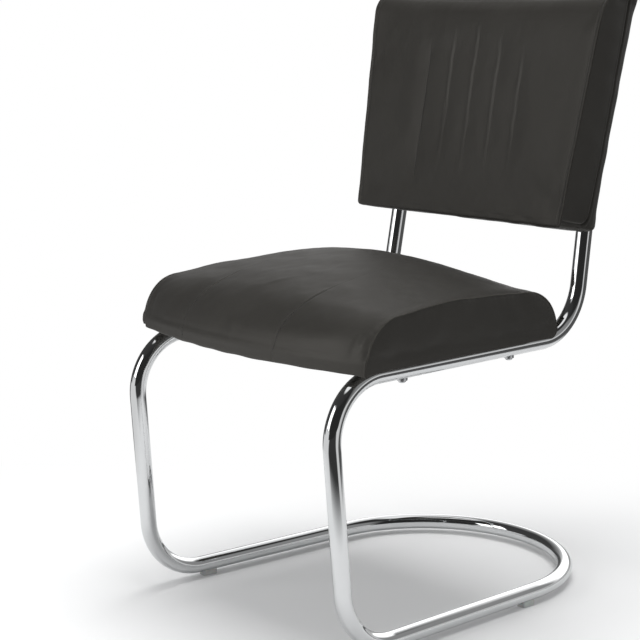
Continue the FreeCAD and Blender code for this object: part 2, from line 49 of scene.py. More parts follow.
# The tube's run, as in the solids
TUBE_RADIUS = 12.5
RUNNER_HEIGHT = 18.5
FOOT_HALF_SPACING = 225.0
FOOT_SETBACK = 32.0
FRONT_HALF_SPACING = 220.0
FRONT_HEIGHT = 397.5
REAR_HALF_SPACING = 205.0
REAR_HEIGHT = 401.0
RAIL_LENGTH = 506.0
TOP_HALF_SPACING = 191.5
UPRIGHT_LENGTH = 440.0
UPRIGHT_LEAN = math.radians(9.1)
BASE_CENTRE = 413.0
BASE_RADIUS = 212.0
BEND_RADII = (90.0, 85.0, 95.0)
TUBE_WALL = 2.0
MIDDLE = 316.2107
RAIL_TILT = math.atan2(REAR_HEIGHT - FRONT_HEIGHT, RAIL_LENGTH)


def from_rails(points):
    """Seat points (across, back along the rails, up) to the row frame, in metres."""
    x, y, z = points[..., 0], points[..., 1], points[..., 2]
    cos, sin = math.cos(RAIL_TILT), math.sin(RAIL_TILT)
    return np.stack([x, y * cos - z * sin - MIDDLE, y * sin + z * cos + FRONT_HEIGHT], -1) * MM


def from_uprights(points):
    """Back points (across, behind the uprights' lines, up them) to the row frame, in metres."""
    x, y, u = points[..., 0], points[..., 1], points[..., 2]
    cos, sin = math.cos(UPRIGHT_LEAN), math.sin(UPRIGHT_LEAN)
    back = y * cos + u * sin + RAIL_LENGTH - MIDDLE
    return np.stack([x, back, u * cos - y * sin + REAR_HEIGHT], -1) * MM


# ---- small numeric helpers


def spline_matrix(nodes_at, wanted):
    """Matrix that reads a natural cubic spline through values at nodes_at, at the wanted places."""
    n = len(nodes_at)
    h = np.diff(nodes_at)
    a = np.zeros((n, n))
    b = np.zeros((n, n))
    a[0, 0] = a[-1, -1] = 1.0
    for i in range(1, n - 1):
        a[i, i - 1:i + 2] = h[i - 1], 2 * (h[i - 1] + h[i]), h[i]
        b[i, i - 1:i + 2] = 6 / h[i - 1], -6 / h[i - 1] - 6 / h[i], 6 / h[i]
    second = np.linalg.solve(a, b)
    j = np.clip(np.searchsorted(nodes_at, wanted) - 1, 0, n - 2)
    left = (nodes_at[j + 1] - wanted) / h[j]
    right = 1 - left
    rows = np.arange(len(wanted))
    out = ((left ** 3 - left) * h[j] ** 2 / 6)[:, None] * second[j]
    out += ((right ** 3 - right) * h[j] ** 2 / 6)[:, None] * second[j + 1]
    out[rows, j] += left
    out[rows, j + 1] += right
    return out


def periodic_spline_matrix(nodes_at, wanted, period):
    """The same for values that repeat after a period."""
    n, pad = len(nodes_at), 6
    extended = np.concatenate([nodes_at[-pad:] - period, nodes_at, nodes_at[:pad] + period])
    wide = spline_matrix(extended, wanted)
    out = wide[:, pad:pad + n].copy()
    out[:, -pad:] += wide[:, :pad]
    out[:, :pad] += wide[:, -pad:]
    return out


def graded(marks, near, widest, reach):
    """Places from the first mark to the last, near apart beside each mark, else up to widest apart."""
    fine = np.linspace(marks[0], marks[-1], 20001)
    away = np.min(np.abs(fine[:, None] - np.array(marks)[None]), axis=1)
    step = near + (widest - near) * np.clip(away / reach, 0, 1)
    dense = np.concatenate([[0], np.cumsum((fine[1] - fine[0]) / step[1:])])
    found = [marks[0]]
    for start, end in zip(marks, marks[1:]):
        low, high = np.interp([start, end], fine, dense)
        count = max(2, int(round(high - low)))
        found.extend(np.interp(np.linspace(low, high, count + 1)[1:], dense, fine))
    return np.array(found)


def bell(x, width):
    return np.exp(-(x / width) ** 2)


def smooth_step(x, low, high):
    t = np.clip((x - low) / (high - low), 0, 1)
    return t * t * (3 - 2 * t)


def wave_noise(x, y, size, seed, count=28):
    """Soft seeded noise of about unit height whose lumps are about size across."""
    gen = np.random.default_rng(seed)
    total = np.zeros(np.broadcast(x, y).shape)
    for _ in range(count):
        angle = gen.uniform(0, 2 * math.pi)
        length = size * gen.uniform(0.75, 1.7)
        phase = gen.uniform(0, 2 * math.pi)
        total += np.sin(2 * math.pi * (x * math.cos(angle) + y * math.sin(angle)) / length + phase)
    return total / math.sqrt(count / 2)


def unit(vectors):
    return vectors / np.linalg.norm(vectors, axis=-1, keepdims=True)


def travelled(points):
    """Length along a line of points, at each of them."""
    return np.concatenate([[0], np.cumsum(np.linalg.norm(np.diff(points, axis=0), axis=1))])


def rounded_corner(before, corner, after, radius):
    """The arc that rounds a corner: its centre, its arms to both ends, and its swing."""
    back, ahead = unit(before - corner), unit(after - corner)
    half_angle = math.acos(float(np.clip(back @ ahead, -1, 1))) / 2
    centre = corner + unit(back + ahead) * (radius / math.sin(half_angle))
    reach = radius / math.tan(half_angle)
    return centre, corner + back * reach - centre, corner + ahead * reach - centre, math.pi - 2 * half_angle


def along_arc(arc, share):
    """Points at shares along such an arc."""
    centre, first, last, swing = arc
    share = share[:, None]
    return centre + (np.sin((1 - share) * swing) * first + np.sin(share * swing) * last) / math.sin(swing)


def ring(centre, radius, across, above, sides):
    turn = np.arange(sides) * 2 * math.pi / sides
    return centre + radius * (np.outer(np.cos(turn), across) + np.outer(np.sin(turn), above))


# ---- mesh helpers


def mesh_object(name, verts, faces, smooth=True):
    mesh = bpy.data.meshes.new(name)
    rows = faces.tolist() if isinstance(faces, np.ndarray) else faces
    mesh.from_pydata(np.asarray(verts, float).tolist(), [], rows)
    mesh.validate()
    if smooth:
        mesh.polygons.foreach_set("use_smooth", [True] * len(mesh.polygons))
    obj = bpy.data.objects.new(name, mesh)
    bpy.context.scene.collection.objects.link(obj)
    return obj


def grid_faces(rows, columns, close_columns=False, flip=False, keep=None):
    """Quads of a rows by columns grid of vertices, as an index array."""
    r = np.arange(rows - 1)[:, None]
    c = np.arange(columns if close_columns else columns - 1)[None]
    here, ahead = r * columns, (r + 1) * columns
    beside = (c + 1) % columns
    quads = np.stack([here + c, ahead + c, ahead + beside, here + beside], -1)
    if flip:
        quads = quads[..., ::-1]
    if keep is not None:
        quads = quads[keep]
    return quads.reshape(-1, 4)


def grid_normals(points, close_columns=False):
    """Unit normals of a grid of points, along rows cross along columns."""
    along_rows = np.gradient(points, axis=0)
    if close_columns:
        along_columns = np.roll(points, -1, 1) - np.roll(points, 1, 1)
    else:
        along_columns = np.gradient(points, axis=1)
    n = np.cross(along_rows, along_columns)
    return n / np.maximum(np.linalg.norm(n, axis=-1, keepdims=True), 1e-9)


def closed_tube(verts, faces, rings):
    """Adds a tube through rings of points, with a cap at each end."""
    first, sides = len(verts), len(rings[0])
    last = first + (len(rings) - 1) * sides
    for points in rings:
        verts.extend(points)
    for start in range(first, last, sides):
        for k in range(sides):
            a, b = start + k, start + (k + 1) % sides
            faces.append((a, b, b + sides, a + sides))
    faces.append(tuple(first + k for k in range(sides))[::-1])
    faces.append(tuple(last + k for k in range(sides)))


# ---- materials


class Graph:
    """Short ways to add nodes to a node tree. Each input takes a value or another node's socket."""

    def __init__(self, owner):
        owner.use_nodes = True
        self.nodes, self.links = owner.node_tree.nodes, owner.node_tree.links

    def put(self, node, inputs):
        for key, value in inputs.items():
            if isinstance(value, bpy.types.NodeSocket):
                self.links.new(value, node.inputs[key])
            else:
                node.inputs[key].default_value = value
        return node

    def add(self, kind, inputs=None, **settings):
        node = self.nodes.new("ShaderNode" + kind)
        for key, value in settings.items():
            setattr(node, key, value)
        return self.put(node, inputs or {})

    def where(self, kind="Object"):
        return self.add("TexCoord").outputs[kind]

    def noise(self, scale, detail, roughness=0.5):
        inputs = {"Vector": self.where(), "Scale": scale, "Detail": detail, "Roughness": roughness}
        return self.add("TexNoise", inputs).outputs["Fac"]

    def ramp(self, source, *stops):
        node = self.add("ValToRGB", {"Fac": source})
        elements = node.color_ramp.elements
        while len(elements) < len(stops):
            elements.new(0.5)
        for element, (place, value) in zip(elements, stops):
            element.position = place
            element.color = (value, value, value, 1) if isinstance(value, (int, float)) else (*value, 1)
        return node.outputs["Color"]

    def math(self, operation, *values):
        return self.add("Math", dict(enumerate(values)), operation=operation).outputs[0]

    def soft_range(self, value, low, high):
        inputs = {"Value": value, "From Min": low, "From Max": high}
        return self.add("MapRange", inputs, interpolation_type="SMOOTHSTEP").outputs[0]

    def blend(self, share, first, second):
        return self.add("Mix", {"Factor": share, "A": first, "B": second}, data_type="RGBA").outputs["Result"]

    def mixed(self, share, first, second):
        return self.add("MixShader", {0: share, 1: first, 2: second}).outputs[0]

    def bump(self, height, strength, distance, under=None):
        node = self.add("Bump", {"Height": height, "Strength": strength, "Distance": distance})
        if under is not None:
            self.links.new(under, node.inputs["Normal"])
        return node.outputs["Normal"]


def material(name, build):
    """A material whose shader gets the inputs that build makes on its graph."""
    mat = bpy.data.materials.new(name)
    graph = Graph(mat)
    graph.put(graph.nodes["Principled BSDF"], build(graph))
    return mat


PLEAT_SPACING = 0.049
LEATHER_TONES = ((0.0148, 0.0135, 0.0115), (0.0195, 0.0182, 0.0157))


def pleat_crest_highlight_mask(g):
    """1 along the crests of the back's pleats, which get a painted highlight, else 0. All in metres."""
    wobble = g.noise(30.0, 2.0)
    x, _, z = g.add("SeparateXYZ", {0: g.where()}).outputs
    moved = g.math("ADD", x, g.math("MULTIPLY_ADD", wobble, 0.007, -0.0035))
    apart = g.math("WRAP", moved, PLEAT_SPACING / 2, -PLEAT_SPACING / 2)
    crest = g.soft_range(g.math("ABSOLUTE", apart), 0.0042, 0.0008)
    ends = g.math("MULTIPLY", g.soft_range(x, -0.074, -0.070), g.soft_range(x, 0.124, 0.120))
    arched = g.math("MULTIPLY_ADD", g.math("MULTIPLY", x, x), 4.3, z)
    tall = g.math("MULTIPLY", g.soft_range(z, 0.665, 0.770), g.soft_range(arched, 0.862, 0.835))
    return g.math("MULTIPLY", g.math("MULTIPLY", crest, ends), tall)


def leatherette(name, paint_pleat_highlights=False, highlight_gain=1.0, gloss=0.42):
    """Soft black coated cloth: pebbled grain, faint creases and a dull sheen. The pleat option paints a
    highlight onto the back's pleat crests, and a gain above 1 lightens the whole tone as a painted highlight.
    """
    def build(g):
        inputs = {"Vector": g.where(), "Scale": 900.0, "Randomness": 0.9}
        grain = g.add("TexVoronoi", inputs, feature="SMOOTH_F1").outputs["Distance"]
        broad = g.noise(9.0, 5.0, 0.6)
        # a gain above 1 lightens the whole tone: a painted highlight
        dark, light = ((*(highlight_gain * part for part in tone), 1) for tone in LEATHER_TONES)
        tone = g.blend(g.ramp(broad, (0.3, 0.0), (0.72, 1.0)), dark, light)
        # painted highlight: the back's pleat crests are coloured paler to stand in for light catching the
        # pleats
        if paint_pleat_highlights:
            tone = g.blend(pleat_crest_highlight_mask(g), tone, (0.0300, 0.0285, 0.0255, 1))
        fine = g.bump(grain, 0.20, 0.0003)
        finer = g.bump(g.noise(1500.0, 3.0, 0.6), 0.10, 0.0002, fine)
        return {
            "Base Color": tone,
            "Roughness": g.ramp(broad, (0.25, 0.47), (0.75, 0.57)),
            "Specular IOR Level": gloss,
            "Specular Tint": (1.0, 0.965, 0.90, 1),
            "Sheen Weight": 0.04,
            "Sheen Roughness": 0.5,
            "Normal": g.bump(g.noise(160.0, 4.0, 0.55), 0.16, 0.0008, finer),
        }
    return material(name, build)


def chrome(g):
    """Plated tube: mirror bright, with faint haze, fine wipe marks and a few dull spots."""
    haze = g.noise(14.0, 5.0, 0.6)
    return {
        "Base Color": g.ramp(haze, (0.3, (0.615, 0.625, 0.630)), (0.7, (0.655, 0.662, 0.668))),
        "Metallic": 1.0,
        "Roughness": g.ramp(haze, (0.3, 0.030), (0.75, 0.060)),
        "Normal": g.bump(g.noise(420.0, 3.0, 0.6), 0.035, 0.0001),
    }


def plastic(name, dark, light, rough, milky=0.0):
    """Moulded plastic with a fine spark-eroded grain."""
    def build(g):
        cloud = g.noise(60.0, 4.0)
        return {
            "Base Color": g.ramp(cloud, (0.35, dark), (0.7, light)),
            "Roughness": g.ramp(cloud, (0.3, rough), (0.7, rough + 0.1)),
            "Subsurface Weight": milky,
            "Subsurface Scale": 0.003,
            "Normal": g.bump(g.noise(2600.0, 2.0), 0.12, 0.0001),
        }
    return material(name, build)


def plywood(g):
    """Raw birch with long grain."""
    along = g.add("Mapping", {"Vector": g.where(), "Scale": (60.0, 3.0, 60.0)}).outputs["Vector"]
    inputs = {"Vector": along, "Scale": 1.4, "Detail": 6.0, "Roughness": 0.65}
    grain = g.add("TexNoise", inputs).outputs["Fac"]
    return {
        "Base Color": g.ramp(grain, (0.3, (0.50, 0.36, 0.21)), (0.7, (0.72, 0.56, 0.37))),
        "Roughness": 0.72,
        "Normal": g.bump(grain, 0.25, 0.0003),
    }


def zinc(g):
    """Zinc-plated steel: bright and slightly mottled."""
    mottle = g.noise(700.0, 4.0)
    return {
        "Base Color": g.ramp(mottle, (0.3, (0.50, 0.51, 0.52)), (0.7, (0.66, 0.67, 0.68))),
        "Metallic": 1.0,
        "Roughness": g.ramp(mottle, (0.3, 0.26), (0.7, 0.40)),
    }


def nonwoven(g):
    """Black spun dust cloth with point-bonded dimples."""
    dots = g.add("TexVoronoi", {"Vector": g.where(), "Scale": 620.0, "Randomness": 0.15})
    return {
        "Base Color": g.ramp(g.noise(1900.0, 4.0, 0.7), (0.3, 0.014), (0.75, 0.034)),
        "Roughness": 0.9,
        "Normal": g.bump(dots.outputs["Distance"], 0.5, 0.0003),
    }


def thread(g):
    """Twisted polyester thread."""
    return {"Base Color": g.ramp(g.noise(3000.0, 2.0), (0.3, 0.018), (0.7, 0.05)), "Roughness": 0.55}


LEATHER = leatherette("black_leatherette_fine")
SAT_ON_LEATHER = leatherette("black_leatherette_sat_on", gloss=0.60)
# the back's front, with a painted highlight along its pleat crests
PLEAT_HIGHLIGHT_LEATHER = leatherette("black_leatherette_pleat_crest_highlight", paint_pleat_highlights=True)
# leather painted 2.4 times lighter for the seat's welts, as the highlight along the seam's crest
WELT_HIGHLIGHT_LEATHER = leatherette("black_leatherette_welt_highlight", highlight_gain=2.4)
CHROME = material("chromed_tube_fine", chrome)
THREAD = material("sewing_thread", thread)

SLOT_LOOKS = {
    "chromed_tube": CHROME,
    "black_leatherette": LEATHER,
    "foam": plastic("foam_fine", (0.72, 0.66, 0.48), (0.82, 0.77, 0.60), 0.85),
    "plywood": material("plywood_fine", plywood),
    "glide_plastic": plastic("glide_plastic_fine", (0.42, 0.43, 0.42), (0.52, 0.53, 0.52), 0.42, milky=0.25),
    "black_plastic": plastic("black_plastic_fine", (0.012, 0.012, 0.012), (0.022, 0.022, 0.022), 0.45),
    "zinc_steel": material("zinc_steel_fine", zinc),
    "dust_cloth": material("dust_cloth_fine", nonwoven),
}
for sub in record["subparts"]:
    obj = nodes[sub["node"]]
    obj.data.materials.clear()
    obj.data.materials.append(SLOT_LOOKS[sub["material_slot"]])


def finish_piece(obj, look, *replaced, slot="black_leatherette", padded=None):
    """What every new piece gets: its look and body, and the solids it stands for are hidden. slot is not
    used.
    """
    obj.data.materials.append(look)
    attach(obj, "root")
    if replaced:
        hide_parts(*replaced)


# ---- the bent tube


def tube_line():
    """Points along the tube's centreline, from one upright's top to the other's."""
    top = from_uprights(np.array([TOP_HALF_SPACING, 0.0, UPRIGHT_LENGTH])) / MM
    foot = np.array([FOOT_HALF_SPACING, FOOT_SETBACK - MIDDLE, RUNNER_HEIGHT])
    centre = np.array([0.0, BASE_CENTRE - MIDDLE, RUNNER_HEIGHT])
    away = foot - centre
    angle = math.atan2(away[1], away[0]) + math.acos(BASE_RADIUS / math.hypot(away[0], away[1]))
    turn = np.linspace(angle, math.pi / 2, 91)
    base = centre + BASE_RADIUS * np.stack([np.cos(turn), np.sin(turn), 0 * turn], 1)
    corners = [
        top,
        np.array([REAR_HALF_SPACING, RAIL_LENGTH - MIDDLE, REAR_HEIGHT]),
        np.array([FRONT_HALF_SPACING, -MIDDLE, FRONT_HEIGHT]),
        foot,
        base[0],
    ]
    bends = [
        along_arc(rounded_corner(*corners[i:i + 3], radius), np.linspace(0, 1, 61))
        for i, radius in enumerate(BEND_RADII)]
    half = np.vstack([top, *bends, base])
    return np.vstack([half, half[-2::-1] * np.array([-1.0, 1.0, 1.0])])


def sweep(line, radius, sides):
    """Rings round a line, carried along it without twisting."""
    tangents = unit(np.gradient(line, axis=0))
    across = unit(np.cross(tangents[0], [1.0, 0.3, 0.2]))
    rings = []
    for point, tangent in zip(line, tangents):
        across = unit(across - tangent * (across @ tangent))
        rings.append(ring(point, radius, across, np.cross(tangent, across), sides))
    return np.array(rings)


def dense_line(points, longest):
    """The same line with its long runs divided."""
    out = [points[0]]
    for start, end in zip(points, points[1:]):
        count = max(1, int(np.linalg.norm(end - start) // longest))
        out.extend(start + (end - start) * step / count for step in range(1, count + 1))
    return np.array(out)


def make_tube():
    sides = 80
    line = dense_line(tube_line(), 25.0)
    rings = sweep(line, TUBE_RADIUS, sides)
    bore = 1 - TUBE_WALL / TUBE_RADIUS
    first, last = (end + (rim - end) * bore for end, rim in ((line[0], rings[0]), (line[-1], rings[-1])))
    verts = np.concatenate([first[None], rings, last[None]])
    faces = grid_faces(len(verts), sides, close_columns=True, flip=True)
    tube = mesh_object("tube_one_piece", verts.reshape(-1, 3) * MM, faces)
    finish_piece(tube, CHROME, "frame_tube", slot="chromed_tube")


make_tube()


# ---- cushion bodies: a band that wraps round the side view, and two side walls


def arc_points(start, heading, end, share):
    """Points at shares along the arc from start, along heading, to end, and its last heading."""
    chord = end - start
    turn = math.atan2(heading[0] * chord[1] - heading[1] * chord[0], heading @ chord)
    side = np.array([-heading[1], heading[0]])
    swing = 2 * turn * share
    if abs(turn) < 1e-6:
        points = start + np.outer(share, chord)
    else:
        radius = math.hypot(*chord) / (2 * math.sin(turn))
        points = start + radius * (np.outer(np.sin(swing), heading) + np.outer(1 - np.cos(swing), side))
    c, s = math.cos(2 * turn), math.sin(2 * turn)
    return points, np.array([c * heading[0] - s * heading[1], s * heading[0] + c * heading[1]])


class RoundLength:
    """Length round a closed side view against its round parameter."""

    def __init__(self, trace, period):
        self.period = period
        self.g = np.linspace(0, period, 6001)
        self.length = travelled(trace(self.g))

    def at(self, g):
        turns = math.floor(g / self.period)
        return turns * self.length[-1] + np.interp(g - turns * self.period, self.g, self.length)

    def inverse(self, length):
        turns = np.floor(length / self.length[-1])
        return np.interp(length - turns * self.length[-1], self.length, self.g) % self.period


def columns_round(trace, period, corners, n_front, n_top):
    """Round parameters spaced evenly by length on each of the four sides, and those sides' shares."""
    measure = RoundLength(trace, period)
    marks = [*corners, corners[0] + period]
    found, places = [], []
    for side, (start, end, count) in enumerate(zip(marks, marks[1:], (n_front, n_top, n_front, n_top))):
        low, high = measure.at(start), measure.at(end)
        share = np.arange(count) / count
        found.extend(measure.inverse(low + (high - low) * share))
        places.extend(side + share)
    return np.array(found), np.array(places)


class SeatBody:
    """The seat's crowned body, in the rails' frame, with the sizes of the solids."""

    front, depth = 39.5, 383.0
    front_half_width, rear_half_width, middle_half_width = 251.0, 247.0, 249.0
    corners = (0.0, 0.62, 3.45, 5.0)
    period = 7.0
    places = np.array([39.5, 101.5, 236.5, 360.5, 422.5, 411.5])
    heights = np.array([-3.0, 70.5, 81.5, 75.5, 15.5, 0.0]) + TUBE_RADIUS
    out = np.array([-36.0, -24.0, 0.0, 0.0, 8.0, 8.0])
    up = np.array([0.0, 18.0, 37.0, 22.0, 0.0, 0.0])
    lip = np.array([85.0, TUBE_RADIUS])
    lean = math.radians(2.0)

    def half_width(self, y):
        narrower = self.front_half_width - self.rear_half_width
        return self.front_half_width - narrower * (y - self.front) / self.depth

    def side_view(self, g, share):
        corners = np.stack([self.places + share * self.out, self.heights + share * self.up], 1)
        heading = np.array([math.sin(self.lean), math.cos(self.lean)])
        out = np.zeros((len(g), 2))
        part = np.minimum(np.floor(g).astype(int), 6)
        for index in range(5):
            pick = part == index
            points, heading = arc_points(corners[index], heading, corners[index + 1], (g - index)[pick])
            out[pick] = points
        for index, start, end in ((5, corners[5], self.lip), (6, self.lip, corners[0])):
            pick = part == index
            out[pick] = start + (end - start) * (g - index)[pick][:, None]
        return out

    def trace(self, g):
        return self.side_view(g, 0.4)

    def round_at(self, s, g):
        view = self.side_view(g, 1 - s * s)
        return np.stack([s * self.half_width(view[:, 0]), view[:, 0], view[:, 1]], 1)

    def wall_plane(self, g):
        return self.side_view(g, 0.0)

    def wall_space(self, flat, side):
        y, z = flat[..., 0], flat[..., 1]
        return np.stack([side * self.half_width(y), y, z], -1)


class BackBody:
    """The back's body, in the uprights' frame. Its rear edges are rounded in plan as well.

    Its lower edges are drawn a little tighter or rounder than the solid's, as the sewn cover is.
    """

    bottom, top = 155.0, 508.0
    bottom_half_width, top_half_width, middle_half_width = 219.5, 244.5, 232.0
    front_low, front_high, rear = 78.8, 69.8, -16.0
    crown, edge_crown, fade = 3.0, 0.8, 55.0
    plan_radius, bulge = 24.0, 2.5
    round_from = -rear - plan_radius
    rolls = (5.0, 38.0, 24.0, 32.0)
    lower_corner = 7.0
    corners = (0.5, 2.5, 4.5, 6.5)
    period = 8.0
    line_reach = 98.0

    def __init__(self):
        self.box = [np.array(p) for p in (
            (-self.front_low, self.bottom), (-self.front_high, self.top),
            (-self.rear, self.top), (-self.rear, self.bottom))]
        self.arcs = [
            rounded_corner(self.box[i - 1], self.box[i], self.box[(i + 1) % 4], self.rolls[i])
            for i in range(4)]

    def half_width(self, u):
        share = (u - self.bottom) / (self.top - self.bottom)
        below = np.clip(self.bottom + self.lower_corner - u, 0, self.lower_corner)
        trim = self.lower_corner - np.sqrt(self.lower_corner ** 2 - below ** 2)
        return self.bottom_half_width + (self.top_half_width - self.bottom_half_width) * share - trim

    def side_view(self, g):
        """Round parameter: 0 to 1 is the bottom front roll, 1 to 2 the front, and so on round."""
        out = np.zeros((len(g), 2))
        part = np.minimum(np.floor(g).astype(int), 7)
        for index in range(8):
            pick = part == index
            share = (g - index)[pick]
            arc, after = self.arcs[index // 2], self.arcs[(index // 2 + 1) % 4]
            if index % 2 == 0:
                out[pick] = along_arc(arc, share)
            else:
                out[pick] = np.outer(1 - share, arc[0] + arc[2]) + np.outer(share, after[0] + after[1])
        return out

    trace = side_view

    def inside_corner(self, y):
        """How far into the rounded rear edge a place is, from 0 to its radius."""
        return np.clip(y - self.round_from, 0, self.plan_radius)

    def drop(self, y):
        return self.plan_radius - np.sqrt(np.maximum(self.plan_radius ** 2 - self.inside_corner(y) ** 2, 0))

    def crown_at(self, u):
        share = np.minimum(u - self.bottom - self.rolls[0], self.top - self.rolls[1] - u) / self.fade
        return (self.crown - self.edge_crown) * smooth_step(share, 0, 1)

    def round_at(self, s, g):
        view = self.side_view(g)
        y, u = view[:, 0], view[:, 1]
        half = self.half_width(u) - self.drop(y)
        inner = self.line_reach / self.middle_half_width
        if abs(s) <= inner:
            x = s * self.middle_half_width + 0 * half
        else:
            x = np.sign(s) * (self.line_reach + (abs(s) - inner) / (1 - inner) * (half - self.line_reach))
        ahead = smooth_step(-y, 30.0, 66.0) * self.crown_at(u) * (1 - (x / self.half_width(u)) ** 2)
        return np.stack([x, y - ahead, u], 1)

    def wall_plane(self, g):
        view = self.side_view(g)
        turn = np.arcsin(self.inside_corner(view[:, 0]) / self.plan_radius)
        w = np.where(view[:, 0] < self.round_from, view[:, 0], self.round_from + self.plan_radius * turn)
        return np.stack([w, view[:, 1]], 1)

    def wall_space(self, flat, side):
        w, u = flat[..., 0], flat[..., 1]
        turn = np.clip((w - self.round_from) / self.plan_radius, 0, math.pi / 2)
        y = np.where(w < self.round_from, w, self.round_from + self.plan_radius * np.sin(turn))
        bulge = self.bulge * np.clip(1 - ((y + 35.0) / 40.0) ** 2, 0, 1)
        bulge = bulge * smooth_step(u, self.bottom, self.bottom + 45) * smooth_step(self.top - u, 0, 45)
        x = self.half_width(u) - self.plan_radius * (1 - np.cos(turn)) + bulge
        return np.stack([side * x, y, u], -1)


def coons(loop, n_front, n_top):
    """Fills a closed loop of points with a grid of n_top by n_front cells."""
    total = 2 * (n_front + n_top)
    left = loop[np.arange(0, n_front + 1)]
    top = loop[np.arange(n_front, n_front + n_top + 1)]
    right = loop[np.arange(2 * n_front + n_top, n_front + n_top - 1, -1)]
    bottom = loop[np.arange(total, 2 * n_front + n_top - 1, -1) % total]
    a = np.linspace(0, 1, n_top + 1)[:, None, None]
    b = np.linspace(0, 1, n_front + 1)[None, :, None]
    fill = (1 - b) * bottom[:, None] + b * top[:, None] + (1 - a) * left[None] + a * right[None]
    fill -= (1 - a) * ((1 - b) * left[0] + b * left[-1]) + a * ((1 - b) * right[0] + b * right[-1])
    return fill


class Skin:
    """A cushion's surface as three grids: the band round its side view and the two side walls."""

    def __init__(self, body, across, n_front, n_top):
        self.body, self.across, self.n_front, self.n_top = body, across, n_front, n_top
        self.g, self.q = columns_round(body.trace, body.period, body.corners, n_front, n_top)
        self.band = np.stack([body.round_at(s, self.g) for s in across])
        flat = coons(body.wall_plane(self.g), n_front, n_top)
        self.walls = {side: body.wall_space(flat, side) for side in (1, -1)}

    def places(self):
        """The band's three coordinates and its round parameter, each as a grid."""
        return (*np.moveaxis(self.band, -1, 0), np.broadcast_to(self.q[None], self.band.shape[:2]))

    def loop_index(self):
        """Index into the band's columns of each wall point, or -1 inside the wall."""
        nf, nt = self.n_front, self.n_top
        total = 2 * (nf + nt)
        index = -np.ones((nt + 1, nf + 1), int)
        index[0, :] = np.arange(nf + 1)
        index[:, nf] = nf + np.arange(nt + 1)
        index[nt, :] = nf + nt + nf - np.arange(nf + 1)
        index[:, 0] = (2 * nf + nt + nt - np.arange(nt + 1)) % total
        return index

    def normals(self):
        walls = {side: grid_normals(self.walls[side]) * side for side in (1, -1)}
        return grid_normals(self.band, close_columns=True), walls


CLOTH_FRAMES = 20


def settle(name, skin, start, pins, cap):
    """Blows the closed skin up as cloth round its held places and returns the new grids."""
    rows, columns = skin.band.shape[:2]
    index = skin.loop_index()
    inner = index < 0
    count = rows * columns
    verts = [start["band"].reshape(-1, 3)]
    weights = [pins["band"].reshape(-1)]
    faces = [grid_faces(rows, columns, close_columns=True)]
    maps = {}
    for side, row in ((1, rows - 1), (-1, 0)):
        full = np.where(inner, 0, index) + row * columns
        full[inner] = count + np.arange(inner.sum())
        count += inner.sum()
        maps[side] = full
        verts.append(start[side][inner])
        weights.append(pins["wall"][inner])
        cells = np.stack([full[:-1, :-1], full[1:, :-1], full[1:, 1:], full[:-1, 1:]], -1).reshape(-1, 4)
        faces.append(cells if side > 0 else cells[:, ::-1])
    verts = np.concatenate(verts)
    weights = np.concatenate(weights)
    obj = mesh_object(name, verts * MM, np.concatenate(faces))
    group = obj.vertex_groups.new(name="held")
    for level in np.unique(np.round(weights, 2)):
        if level > 0:
            picked = np.nonzero(np.round(weights, 2) == level)[0]
            group.add([int(v) for v in picked], float(level), "REPLACE")
    cloth = obj.modifiers.new("cloth", "CLOTH")
    cloth.settings.quality = 6
    cloth.settings.vertex_group_mass = "held"
    cloth.settings.use_pressure = True
    cloth.settings.uniform_pressure_force = 4.0
    cloth.settings.effector_weights.gravity = 0.0
    cloth.settings.shrink_min = 0.0
    cloth.settings.bending_stiffness = 2.0
    cloth.point_cache.frame_start, cloth.point_cache.frame_end = 1, CLOTH_FRAMES
    scene = bpy.context.scene
    for step in range(1, CLOTH_FRAMES + 1):
        scene.frame_set(step)
    done = obj.evaluated_get(bpy.context.evaluated_depsgraph_get()).to_mesh()
    moved = np.zeros(len(verts) * 3)
    done.vertices.foreach_get("co", moved)
    moved = moved.reshape(-1, 3) / MM - verts
    scene.frame_set(1)
    bpy.data.objects.remove(obj)
    size = np.linalg.norm(moved, axis=1, keepdims=True)
    moved *= np.minimum(1, cap / np.maximum(size, 1e-9))
    print(name, "cloth moved", round(float(np.median(size)), 2), round(float(size.max()), 2))
    moved[weights >= 0.99] = 0
    out = verts + moved
    return {"band": out[:rows * columns].reshape(rows, columns, 3), 1: out[maps[1]], -1: out[maps[-1]]}


def carry(coarse, fine, change):
    """The fine skin's band and walls, moved by a change that is known on a coarse skin."""
    across = spline_matrix(coarse.across, fine.across)
    round_ = periodic_spline_matrix(coarse.q, fine.q, 4.0)
    band = fine.band + np.einsum("ai,ijc,bj->abc", across, change["band"], round_, optimize=True)
    a = spline_matrix(np.linspace(0, 1, coarse.n_top + 1), np.linspace(0, 1, fine.n_top + 1))
    b = spline_matrix(np.linspace(0, 1, coarse.n_front + 1), np.linspace(0, 1, fine.n_front + 1))
    walls = {
        side: fine.walls[side] + np.einsum("ai,ijc,bj->abc", a, change[side], b, optimize=True)
        for side in (1, -1)}
    return band, walls


def nearest_on_loop(points, loop):
    """For grid points: distance to the nearest point of a loop, and its index."""
    flat = points.reshape(-1, 3)
    best = np.full(len(flat), 1e9)
    which = np.zeros(len(flat), int)
    for first in range(0, len(flat), 4000):
        part = flat[first:first + 4000]
        gap = np.linalg.norm(part[:, None] - loop[None], axis=-1)
        which[first:first + 4000] = gap.argmin(1)
        best[first:first + 4000] = gap.min(1)
    return best.reshape(points.shape[:-1]), which.reshape(points.shape[:-1])


